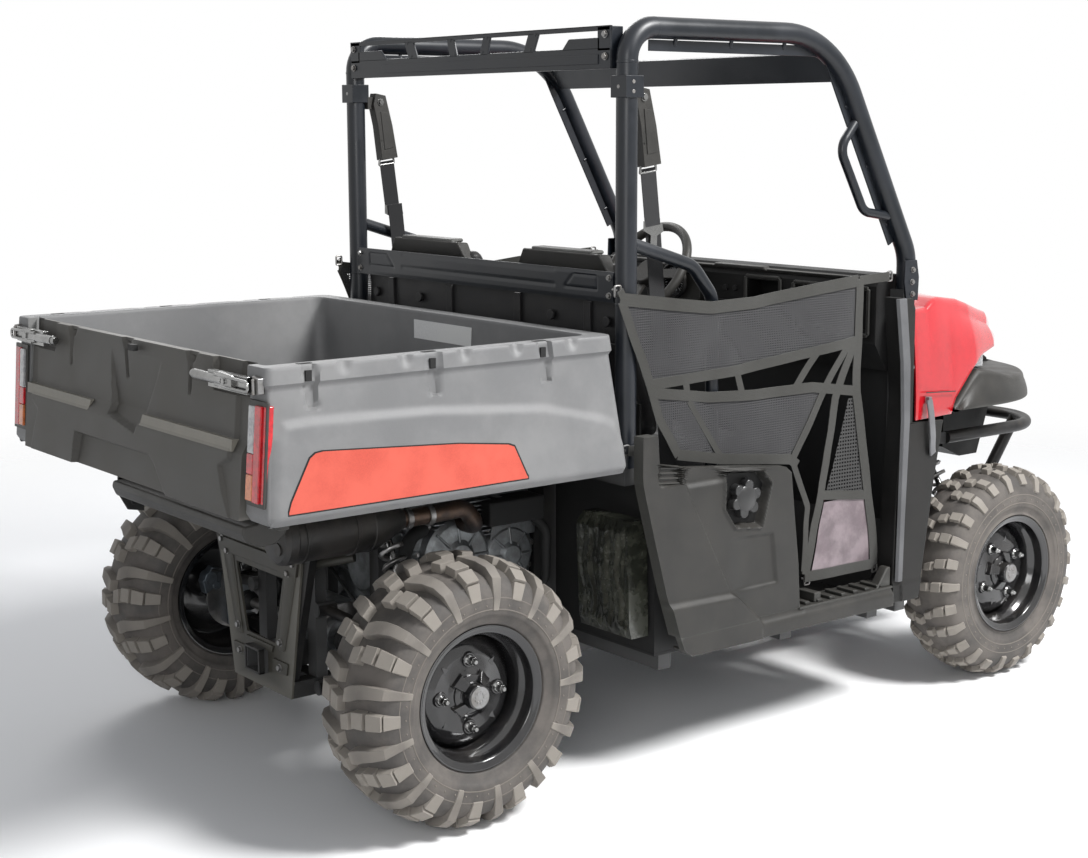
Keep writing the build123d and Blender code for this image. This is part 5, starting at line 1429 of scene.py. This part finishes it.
def seat_back_sheets():
    """The pressed panel behind the seats, and the ribbed sheet below it."""
    sheet = panel(Shape(), [(1150, -558, 558), (1222, -558, 558)], 4, lambda u, v, h: (474 - h, u, v),
                  back_panel_height)
    sheet.done("back_panel_sheet", "cab_tube", slot="cab_tube", sharp=40, stands_for=["seat_back_panel"])
    lower = Shape()
    lower.box((505, 509), (-548, 548), (905, 1148))
    for y in (-430, -150, 150, 430):
        lower.prism([(y - 16, 910), (y + 16, 910), (y + 12, 1144), (y - 12, 1144)], 497, 506, "x")
    for z in (925, 1040):
        lower.box((499, 506), (-540, 540), (z - 9, z + 9))
    for y in (-505, -290, 290, 505):
        lower.rod((502, y, 1100), (494, y, 1100), 13)
    lower.box((505, 562), (-548, 548), (901, 906))
    lower.done("back_sheet", "seat_vinyl", bevel=2, slot="body_plastic")


def frame_details():
    """Flange strips, sleeves and foot plates that are welded and bolted to the cab frame."""
    strips, bolts, sleeves = Shape(), Shape(), Shape()
    for s in (1, -1):
        y = s * TUBE_Y
        edge = y - s * 6
        offset = Vector((-34 * cos(PILLAR_ANGLE), 0, -34 * sin(PILLAR_ANGLE)))
        low, high = Vector((1448, edge, 1268)) + offset, Vector((1228, edge, 1668)) + offset
        strips.strap([low, high, (1150, edge, 1742), (560, edge, 1744)], 26, 5, bend=120)
        for place in (low + (high - low) * k for k in (0.12, 0.5, 0.88)):
            strips.rod(place, place - offset * 0.5, 5)
        for x in (640, 820, 1000):
            strips.rod((x, edge, 1744), (x, y, 1765), 5)
        sleeves.box((463, 517), (s * 557, s * 613), (1624, 1674))
        for z in (1660, 1638):
            bolts.rod((486, s * 612.6, z), (486, s * 613.6, z), 4.6, sides=14)
        bolts.rod((463.5, s * 585, 1649), (462.4, s * 585, 1649), 4.6, sides=14)
        sleeves.rod((POST, y, 1702), (POST, y, 1709), 26.4, sides=40)
        sleeves.rod((566, y, ROOF), (572, y, ROOF), 25.7, sides=40)
        sleeves.rod((POST, y, 1146), (POST, y, 1152), 26.6, sides=40)
        foot = [(1438, 1206), (1484, 1206), (1494, 1160), (1492, 1098), (1446, 1098), (1436, 1150)]
        sleeves.prism(foot, s * 607, s * 613)
        for x, z in ((1468, 1180), (1466, 1148), (1468, 1116)):
            bolts.bolt((x, s * 613, z), (0, s, 0), 6.5, 4.5)
        for z in (1768, 1718):
            bolts.bolt((460, s * 541, z), BACK, 7.5, 5)
        for z in (1208, 1166):
            bolts.bolt((472, s * 545, z), BACK, 6.5, 5)
    strips.done("frame_flanges", "cab_tube", bevel=1.2, slot="cab_tube")
    sleeves.done("frame_sleeves", "cab_tube", bevel=1.5, slot="cab_tube")
    bolts.done("frame_bolts", "steel", bevel=0.5, slot="steel")


top_panel()
seat_back_sheets()
frame_details()


# ---------------------------------------------------------------- belts
def seat_belt(name, s):
    """Retractor housing with its ring, webbing and latch plate."""
    house, metal, web = Shape(), Shape(), Shape()
    case = [(534, 1650), (566, 1644), (588, 1560), (604, 1472), (552, 1464), (540, 1560), (526, 1620)]
    house.prism(case, s * 577, s * 547)
    house.prism([(548, 1600), (574, 1596), (590, 1500), (560, 1494)], s * 579, s * 545)
    house.box((512, 540), (s * 556, s * 572), (1606, 1640))
    house.rod((551, s * 581, 1520), (551, s * 543, 1520), 1)
    house.done(f"belt_housing_{name}", "body_plastic", bevel=4, slot="body_plastic", steps=3,
               stands_for=["seat_belts"])
    ring = [(550, 1450), (600, 1456), (598, 1472), (552, 1466), (550, 1450)]
    metal.tube([(x, s * 562, z) for x, z in ring], 3.2, bend=6, sides=10)
    metal.bolt((549, s * 577, 1626), (0, s, 0))
    metal.bolt((549, s * 547, 1626), (0, -s, 0))
    latch = [(566, 1338), (622, 1330), (626, 1312), (606, 1302), (604, 1262), (584, 1262), (586, 1304),
             (566, 1314)]
    metal.prism(latch, s * 557, s * 562)
    metal.done(f"belt_metal_{name}", "chrome", bevel=1.5, slot="steel")
    web.strap([(575, s * 562, 1462), (592, s * 561, 1326)], 47, 2.2)
    web.strap([(596, s * 555, 1340), (640, s * 552, 900), (667, s * 549, 645)], 47, 2.2, bend=100)
    web.done(f"belt_webbing_{name}", "belt", slot="net_mesh", sharp=50)


for name, side in SIDES:
    seat_belt(name, side)


# ---------------------------------------------------------------- dash and gauge
GAUGE_Y, GAUGE_Z = 218, 1102


def dash_trims():
    """Raised top pad, centre ridge, frames of the two bays, gauge hood and column cover."""
    trims = Shape()
    trims.loft([[(1396, -548, 1146), (1396, 548, 1146), (1388, 548, 1158), (1388, -548, 1158)],
                [(1476, -548, 1150), (1476, 548, 1150), (1476, 548, 1163), (1476, -548, 1163)]])
    trims.prism([(-150, 1152), (80, 1152), (62, 1164.5), (-134, 1164.5)], 1385, 1470, "x")
    for y0, y1, z0, z1 in ((-198, -62, 1057, 1133), (-528, -252, 1002, 1128)):
        for y, z in (((y0, y1), (z0 - 7, z0 + 5)), ((y0, y1), (z1 - 5, z1 + 7)),
                     ((y0 - 7, y0 + 5), (z0, z1)), ((y1 - 5, y1 + 7), (z0, z1))):
            trims.box((1386, 1396), y, z)
    shroud = [(120, 1048), (330, 1040), (345, 1118), (310, 1150), (150, 1154), (112, 1110)]
    trims.prism(shroud, 1376, 1396, "x")
    trims.prism([(1330, 1100), (1392, 1130), (1392, 1020), (1345, 1040)], 258, 312)
    trims.done("dash_trims", "body_plastic", bevel=5, slot="body_plastic", steps=3)


def gauge():
    """Speed gauge with plain ticks and no figures."""
    bezel = [(0, 0), (48, 0), (54, 6), (54, 14), (48, 18), (46, 14), (46, 8), (0, 8)]
    ring = Shape().lathe(bezel, (1374, GAUGE_Y, GAUGE_Z), BACK, 56)
    ring.done("gauge_bezel", "frame_black", bevel=0.8, slot="body_plastic")
    glass = Shape().rod((1366.5, GAUGE_Y, GAUGE_Z), (1365.6, GAUGE_Y, GAUGE_Z), 45, sides=48)
    glass.done("gauge_face", "dial", slot="body_plastic")
    marks = Shape()
    for k in range(25):
        turn = radians(225 - k * 270 / 24)
        start, width = (30, 1.8) if k % 3 == 0 else (35, 1.0)
        ends = [(1365, GAUGE_Y - r * cos(turn), GAUGE_Z + r * sin(turn)) for r in (start, 40)]
        marks.strap(ends, width, 0.4, BACK)
    marks.strap([(1364.6, 218, 1102), (1364.6, 240, 1082)], 2.4, 0.5, BACK)
    marks.box((1364.6, 1365.2), (204, 232), (1072, 1082))
    marks.done("gauge_marks", "label", slot="body_plastic")


def dash_controls():
    """Knobs and a blank switch block."""
    knobs = Shape()
    for y, z in ((168, 1132), (140, 1130), (352, 1100), (352, 1070), (-20, 1095), (20, 1095)):
        knobs.rod((1394, y, z), (1370 if 100 < y < 200 else 1384, y, z), 9, 8)
    knobs.box((1384, 1394), (-45, 60), (1010, 1060))
    knobs.done("dash_controls", "rubber", bevel=1.5, slot="body_plastic")


def steering_boss():
    """Hub cover of the steering wheel, along its sloping axis."""
    slope = radians(35)
    out = Vector((-cos(slope), 0, sin(slope)))
    hub = Vector((1310, 285, 1130))
    boss = Shape().rod(hub - out * 20, hub + out * 4, 46, 40, 32)
    boss.done("steering_boss", "body_plastic", "steering_wheel", bevel=5, slot="body_plastic", steps=3)


dash_trims()
gauge()
dash_controls()
steering_boss()


# ---------------------------------------------------------------- shocks
def helix(start, end, radius, turns, steps):
    """Centre line of a coil between two points, with steps points a turn."""
    run = end - start
    u = run.orthogonal().normalized()
    v = run.normalized().cross(u)
    count = int(turns * steps)
    return [start + run * (k / count) + (u * cos(2 * pi * k / steps) + v * sin(2 * pi * k / steps)) * radius
            for k in range(count + 1)]


def coil_over(body, coil, axle_x, low, top, s):
    """Damper with its spring seats, between eyes given as (y, z)."""
    a, b = Vector((axle_x, s * low[0], low[1])), Vector((axle_x, s * top[0], top[1]))
    run = b - a
    for eye in (a, b):
        body.rod(eye - Vector((17, 0, 0)), eye + Vector((17, 0, 0)), 15.5, sides=24)
    body.rod(a, a + run * 0.34, 15)
    body.rod(a + run * 0.14, a + run * 0.17, 31.5, sides=28)
    body.rod(a + run * 0.3, b, 9)
    body.rod(a + run * 0.84, a + run * 0.88, 31.5, sides=28)
    body.rod(a + run * 0.84, b, 17)
    path = helix(a + run * 0.18, a + run * 0.83, 26.4, 6.5, 14)
    coil.sweep(path, oval(10.4, 10.4, 2, 2), level=(1, 0, 0))


bodies, coils = Shape(), Shape()
for _, side in SIDES:
    coil_over(bodies, coils, AXLE, (478, 426.6), (290, 683.7), side)
    coil_over(bodies, coils, 0, (407, 400.3), (260, 683.7), side)
bodies.done("shock_bodies", "chrome", bevel=1.5, slot="steel", stands_for=["shocks"])
coils.done("shock_springs", "steel", slot="steel", sharp=80)


# ---------------------------------------------------------------- engine, exhaust and drive
# round engine covers on the right side as (centre X, centre Z, radius, depth)
COVERS = ((226, 520, 104, 52), (388, 500, 82, 44), (300, 392, 66, 38))
COVER_Y = -230


def engine_covers(cast, bolts):
    """Stepped round covers with bolted ears and raised spokes."""
    for x, z, r, deep in COVERS:
        profile = [(0, deep), (r * 0.3, deep), (r * 0.42, deep - 10), (r * 0.8, deep - 12),
                   (r * 0.92, deep - 22), (r * 0.96, 8), (r + 8, 6), (r + 8, 0), (0, 0)]
        cast.lathe(profile, (x, COVER_Y, z), (0, -1, 0), 44)
        for c, s in fan(9, 0.2):
            ear_x, ear_z = x + (r + 2) * c, z + (r + 2) * s
            cast.rod((ear_x, COVER_Y, ear_z), (ear_x, COVER_Y - 12, ear_z), 9)
            bolts.bolt((ear_x, COVER_Y - 12, ear_z), (0, -1, 0), 5, 4)
        for c, s in fan(8):
            ends = [(x + reach * c, COVER_Y - deep + 8 + rise, z + reach * s)
                    for reach, rise in ((r * 0.36, 0), (r * 0.86, 8))]
            cast.rod(*ends, 4.5, sides=8)


def engine_details():
    """Covers, fins, hoses and bolts on the plain engine block."""
    cast, dark, bolts = Shape(), Shape(), Shape()
    engine_covers(cast, bolts)
    for k in range(9):
        z = 560 + k * 11
        cast.prism([(160, z), (330, z), (330, z + 4), (160, z + 4)], -232, -262)
    cast.prism([(330, 545), (470, 545), (474, 640), (350, 652)], -228, -258)
    hose = [(140, -250, 600), (90, -262, 590), (70, -240, 500), (90, -215, 420), (130, -205, 380)]
    dark.tube(hose, 17, bend=40, sides=16)
    dark.tube([(440, -262, 610), (474, -300, 560), (470, -300, 430), (430, -262, 380)], 13, bend=40)
    dark.box((142, 470), (-222, 180), (640, 668))
    dark.box((300, 470), (-300, -210), (588, 650))
    for y in (-120, 60):
        for z in (360, 430, 500, 570):
            cast.box((120, 134), (y - 60, y + 60), (z, z + 9))
    cast.lathe([(0, 40), (60, 40), (74, 28), (78, 0), (0, 0)], (132, -30, 470), BACK, 36)
    for c, s in fan(6):
        bolts.bolt((128, -30 + 66 * c, 470 + 66 * s), BACK, 6, 5)
    cast.done("engine_covers", "alloy", bevel=1.5, slot="alloy", sharp=35)
    dark.done("engine_hoses", "rubber", bevel=6, slot="alloy", steps=3)
    bolts.done("engine_bolts", "steel", bevel=0.5, slot="steel")


def exhaust_details():
    """Muffler with its bands, the pipe ahead of it and the clamps."""
    can, tail, clamp = Shape(), Shape(), Shape()
    y, z = -370, 665
    profile = [(0, 0), (26, 0), (52, 4), (60, 14), (61.8, 30), (61.8, 34), (60, 36), (60, 232), (61.8, 234),
               (61.8, 238), (60, 254), (40, 300), (24, 336), (0, 336)]
    can.lathe(profile, (-344, y, z), (1, 0, 0), 48)
    can.rod((-346, y - 20, z - 18), (-300, y - 20, z - 18), 15, sides=24)
    for x in (-290, -160):
        can.rod((x, y, z), (x + 9, y, z), 62.6, sides=48)
    can.box((-200, -170), (y, -281), (z + 34, 730))
    can.done("muffler", "exhaust_black", bevel=0.8, slot="exhaust_steel", stands_for=["exhaust"])
    pipe = [(-14, y, z), (80, y, z), (180, y + 10, z), (240, y + 40, z - 60), (240, -232, z - 60)]
    tail.tube(pipe, 21.5, bend=60, sides=24)
    tail.done("exhaust_pipe", "exhaust_steel", slot="exhaust_steel", sharp=70)
    for x, r in ((0, 26), (62, 25)):
        clamp.rod((x, y, z), (x + 14, y, z), r, sides=32)
        clamp.tube([(x + 7, y - 10, z + 30), (x + 7, y + 14, z + 30)], 3.5, sides=10)
    clamp.done("exhaust_clamps", "steel", bevel=1, slot="steel")


def rear_plate():
    """Ribs, pads and bolts of the stamped plate, and the collar round the hitch receiver."""
    plate, bolts, collar = Shape(), Shape(), Shape()
    for s in (1, -1):
        plate.loft([[(x, s * y, z) for x, y in ends] for z, ends in (
            (318, ((-179, 88), (-179, 118), (-183, 112), (-183, 94))),
            (540, ((-179, 132), (-179, 188), (-183, 180), (-183, 140))))])
        plate.prism([(s * 60, 262), (s * 128, 262), (s * 134, 292), (s * 62, 292)], -183, -176, "x")
        for y, z in ((104, 340), (150, 520), (98, 276), (176, 546)):
            bolts.bolt((-183, s * y, z), BACK, 7.5, 6)
        plate.tube([(-160, s * 128, 505), (-120, s * 180, 540), (-60, s * 250, 560)], 12, bend=40)
    plate.prism([(-186, 516), (186, 516), (196, 552), (-196, 552)], -186, -177, "x")
    plate.prism([(-60, 305), (60, 305), (66, 322), (-66, 322)], -184, -177, "x")
    plate.done("rear_plate_ribs", "plate_grey", bevel=2.5, slot="frame_black", steps=3)
    bolts.done("rear_plate_bolts", "steel", bevel=0.5, slot="steel")
    for y, z in (((-36, -30), (246.2, 309.6)), ((30, 36), (246.2, 309.6)), ((-36, 36), (303.8, 310)),
                 ((-36, 36), (246.3, 252.4))):
        collar.box((-206, -190), y, z)
    collar.done("hitch_collar", "frame_black", bevel=1.6, slot="frame_black")


def brake_discs(name, s):
    """Brake discs of one side, which turn with their wheels."""
    for end, face, radius in (("rear", 457, 88), ("front", 568, 68)):
        x, z = WHEELS[end].axle, WHEELS[end].radius
        disc = Shape().lathe([(24, 0), (radius, 0), (radius, 5), (24, 5)], (x, s * face, z), (0, s, 0), 48)
        disc.rod((x, s * face, z), (x, s * (face + 28), z), 30, sides=28)
        disc.done(f"brake_disc_{end}_{name}", "steel", f"wheel_{end}_{name}", bevel=0.8, slot="steel")


def brake_caliper(name, s):
    """Rear caliper with its two cylinders."""
    caliper = Shape()
    caliper.prism([(-96, 330), (-52, 352), (-44, 392), (-74, 402), (-104, 366)], s * 444, s * 474)
    caliper.rod((-80, s * 440, 372), (-80, s * 476, 372), 19, sides=24)
    caliper.rod((-64, s * 441, 350), (-64, s * 475, 350), 12, sides=24)
    caliper.done(f"caliper_{name}", "cast_iron", bevel=2.5, slot="steel", steps=3)


def shaft_boots(name, s):
    """Folded boots on the drive shafts of one side."""
    rear, front = WHEELS["rear"], WHEELS["front"]
    boot = Shape()
    folds = [(14, 0)] + [(30 - k * 2 if k % 2 else 24 - k * 2, 8 + k * 9) for k in range(5)] + [(14, 56)]
    for wheel, start, run in ((rear, 76, 1), (rear, 410, -1), (front, 96, 1)):
        boot.lathe(folds, (wheel.axle, s * start, wheel.radius), (0, s * run, 0), 28)
    boot.done(f"shaft_boots_{name}", "rubber", slot="steel", sharp=35)


def rear_hoses(name, s):
    """Strip under the rear arm, and the hoses to the brake."""
    guard = Shape()
    guard.strap([(0, s * 150, 240), (0, s * 300, 246), (0, s * 396, 256)], 44, 6, (0, 0, 1), bend=60)
    guard.tube([(40, s * 160, 420), (60, s * 280, 400), (20, s * 400, 372)], 5, bend=40, sides=8)
    brake_hose = [(-60, s * 130, 520), (-78, s * 260, 470), (-74, s * 400, 400), (-76, s * 446, 392)]
    guard.tube(brake_hose, 4, bend=60, sides=8)
    guard.done(f"rear_hoses_{name}", "rubber", bevel=1, slot="frame_black")


def valance():
    """Curved shield under the bed beside the muffler, with its tab."""
    outline = [(-470, 762), (-484, 753), (-514, 751), (-518, 738), (-508, 716), (-478, 702), (-440, 704),
               (-414, 724), (-404, 764)]
    drop = Shape().prism(outline, -556, 72)
    drop.done("bed_valance", "body_plastic", "bed", bevel=5, slot="bed_plastic", steps=4)
    tab = Shape()
    tab.prism([(-500, 764), (-500, 716), (-478, 676), (-436, 668), (-436, 764)], 74, 79)
    tab.rod((-462, 84, 694), (-462, 72, 694), 8)
    tab.done("bed_tabs", "frame_black", "bed", bevel=2, slot="bed_plastic")


def gear_case():
    """Rear gear case with round side covers and ribs, and the shaft that runs forward from it."""
    cases, marks = Shape(), Shape()
    cases.loft([[(-60, -66, 300), (60, -66, 300), (60, 66, 300), (-60, 66, 300)],
                [(-48, -60, 398), (52, -60, 398), (52, 60, 398), (-48, 60, 398)]])
    for s in (1, -1):
        cases.lathe([(0, 22), (40, 22), (56, 10), (60, 0), (0, 0)], (0, s * 62, 318), (0, s, 0), 36)
        for c, sine in fan(6, 0.4):
            marks.bolt((50 * c, s * 74, 318 + 50 * sine), (0, s, 0), 5, 5)
    for k in range(5):
        cases.box((-66, -58), (-50 + k * 22, -44 + k * 22), (262, 390))
    cases.rod((70, 0, 310), (130, 0, 310), 26, sides=28)
    cases.rod((130, 0, 310), (470, 0, 330), 17)
    cases.done("gear_case_ribs", "alloy", bevel=2.5, slot="alloy")
    marks.done("gear_case_bolts", "steel", bevel=0.5, slot="steel")


engine_details()
exhaust_details()
rear_plate()
for name, side in SIDES:
    brake_discs(name, side)
    brake_caliper(name, side)
    shaft_boots(name, side)
    rear_hoses(name, side)
valance()
gear_case()


# ---------------------------------------------------------------- side bins and bumper
def bin_height(y, z):
    """Soft vertical folds of the translucent side bins."""
    fold = 3.4 * np.sin(y * 0.125 + 1.8 * np.sin(z * 0.016))
    fold = fold + 2.2 * np.sin(y * 0.31 + z * 0.02 + 2 * np.sin(z * 0.041))
    crinkle = 1.3 * np.sin(z * 0.19 + 3 * np.sin(y * 0.09)) * np.sin(y * 0.23 + z * 0.05)
    easing = smooth((z - 338) / 30) * smooth((626 - z) / 40) * smooth((y - 410) / 20) * smooth((604 - y) / 20)
    return (fold + crinkle) * easing - 22 * smooth((z - 590) / 48) - 7 * smooth((372 - z) / 40)


def side_bin(name, side):
    """Box ahead of the rear wheel, with its folds on the face towards the wheel."""
    skin = panel(Shape(), [(338, 412, 602), (600, 408, 604), (626, 416, 596)], 5,
                 lambda u, v, h: (491 - (v - 340) * 0.03 - h, side * u, v), bin_height, back=60)
    skin.done(f"side_bin_{name}", "bin_plastic", slot="body_plastic", sharp=60)


def bumper_details():
    """Black discs of painted shade for the holes and tube ends of the front bumper, and its bolts."""
    hole_shades, bolts = Shape(), Shape()
    for s in (1, -1):
        y = s * 503.4
        for k in range(5):
            x = 1640 + k * 22
            # Thin black discs for the holes, and below for the tube ends: painted shade, nothing is cut.
            hole_shades.rod((x, y, 680), (x, y + s * 0.8, 680), 5.5, sides=16)
        bolts.bolt((1626, s * 503, 680), (0, s, 0), 7, 6)
        hole_shades.lathe([(0, 0), (16, 0), (16.6, 1.2), (0, 1.2)], (1764, s * 500, 680), BACK, 24)
    hole_shades.done("bumper_hole_shade", "rubber", slot="frame_black")
    bolts.done("bumper_bolts", "steel", bevel=0.5, slot="steel")


for name, side in SIDES:
    side_bin(name, side)
bumper_details()


# ---------------------------------------------------------------- floor, light and camera
FADE = (2.4, 5.4)        # the floor thins out between these distances from the vehicle's middle, in metres
FLOOR_HALF = 6.0         # half the floor's width in metres
CAMERA_PLACE = (-3.1012, -3.7659, 1.5675)                # metres
PITCH_DOWN, ROLL, HEADING = 9.70, 0.14, -37.96           # degrees, the heading counted from +Y
LENS, SENSOR = 59.27, 36.0                               # mm


def floor_finish():
    """Pale floor that fades into the white surroundings."""
    tree, shader = new_finish("floor")
    connect(tree, shader, {"Base Color": (0.9, 0.9, 0.9, 1), "Roughness": 0.9})
    place = node(tree, "NewGeometry", {}).outputs["Position"]
    away = node(tree, "VectorMath", {0: place}, operation="LENGTH").outputs["Value"]
    fade = ramp_between(tree, away, *FADE)
    clear = node(tree, "BsdfTransparent", {})
    mix = node(tree, "MixShader", {"Fac": fade, 1: shader.outputs[0], 2: clear.outputs[0]})
    tree.links.new(mix.outputs[0], tree.nodes["Material Output"].inputs["Surface"])
    return FINISHES["floor"]


def make_floor():
    """A square of ground, shown but no part of the vehicle."""
    mesh = bpy.data.meshes.new("floor")
    corners = [(x * FLOOR_HALF, y * FLOOR_HALF, 0) for x, y in ((-1, -1), (1, -1), (1, 1), (-1, 1))]
    mesh.from_pydata(corners, [], [(0, 1, 2, 3)])
    floor = bpy.data.objects.new("floor", mesh)
    bpy.context.scene.collection.objects.link(floor)
    mesh.materials.append(floor_finish())


def make_world():
    """White where the camera, glossy or transmitted rays look, and a soft bluish sky for all other light."""
    world = bpy.data.worlds.new("studio")
    bpy.context.scene.world = world
    world.use_nodes = True
    tree = world.node_tree
    sky = tree.nodes["Background"]
    connect(tree, sky, {"Color": (0.84, 0.88, 0.95, 1), "Strength": 0.34})
    white = node(tree, "Background", {"Color": (1, 1, 1, 1), "Strength": 1.0})
    rays = node(tree, "LightPath", {}).outputs
    straight = {0: rays["Is Camera Ray"], 1: rays["Is Glossy Ray"]}
    seen = node(tree, "Math", straight, operation="MAXIMUM").outputs[0]
    through = {0: seen, 1: rays["Is Transmission Ray"]}
    either = node(tree, "Math", through, operation="MAXIMUM", use_clamp=True).outputs[0]
    mix = node(tree, "MixShader", {"Fac": either, 1: sky.outputs[0], 2: white.outputs[0]})
    tree.links.new(mix.outputs[0], tree.nodes["World Output"].inputs["Surface"])


def lamp(name, place, target, size, power):
    """Square area light; place, target and size are in metres."""
    light = bpy.data.lights.new(name, "AREA")
    light.size = size
    light.energy = power
    made = bpy.data.objects.new(name, light)
    bpy.context.scene.collection.objects.link(made)
    made.location = place
    made.rotation_euler = (Vector(target) - Vector(place)).to_track_quat("-Z", "Y").to_euler()


def make_camera():
    """The camera solved from the photo."""
    view = bpy.data.cameras.new("camera")
    view.lens = LENS
    view.sensor_width = SENSOR
    view.sensor_fit = "HORIZONTAL"
    camera = bpy.data.objects.new("camera", view)
    bpy.context.scene.collection.objects.link(camera)
    camera.location = CAMERA_PLACE
    camera.rotation_euler = (radians(90 - PITCH_DOWN), radians(ROLL), radians(HEADING))
    bpy.context.scene.camera = camera


make_floor()
make_world()
lamp("key", (1.5, -3.6, 4.7), (-0.1, 0, 0.6), 1.5, 500)
lamp("fill", (-4.4, -4.6, 2.3), (-0.8, 0, 0.8), 2.0, 90)
lamp("rim", (1.8, 4.6, 4.6), (0, 0, 0.9), 2.6, 130)
make_camera()
bpy.context.scene.view_settings.view_transform = "Standard"
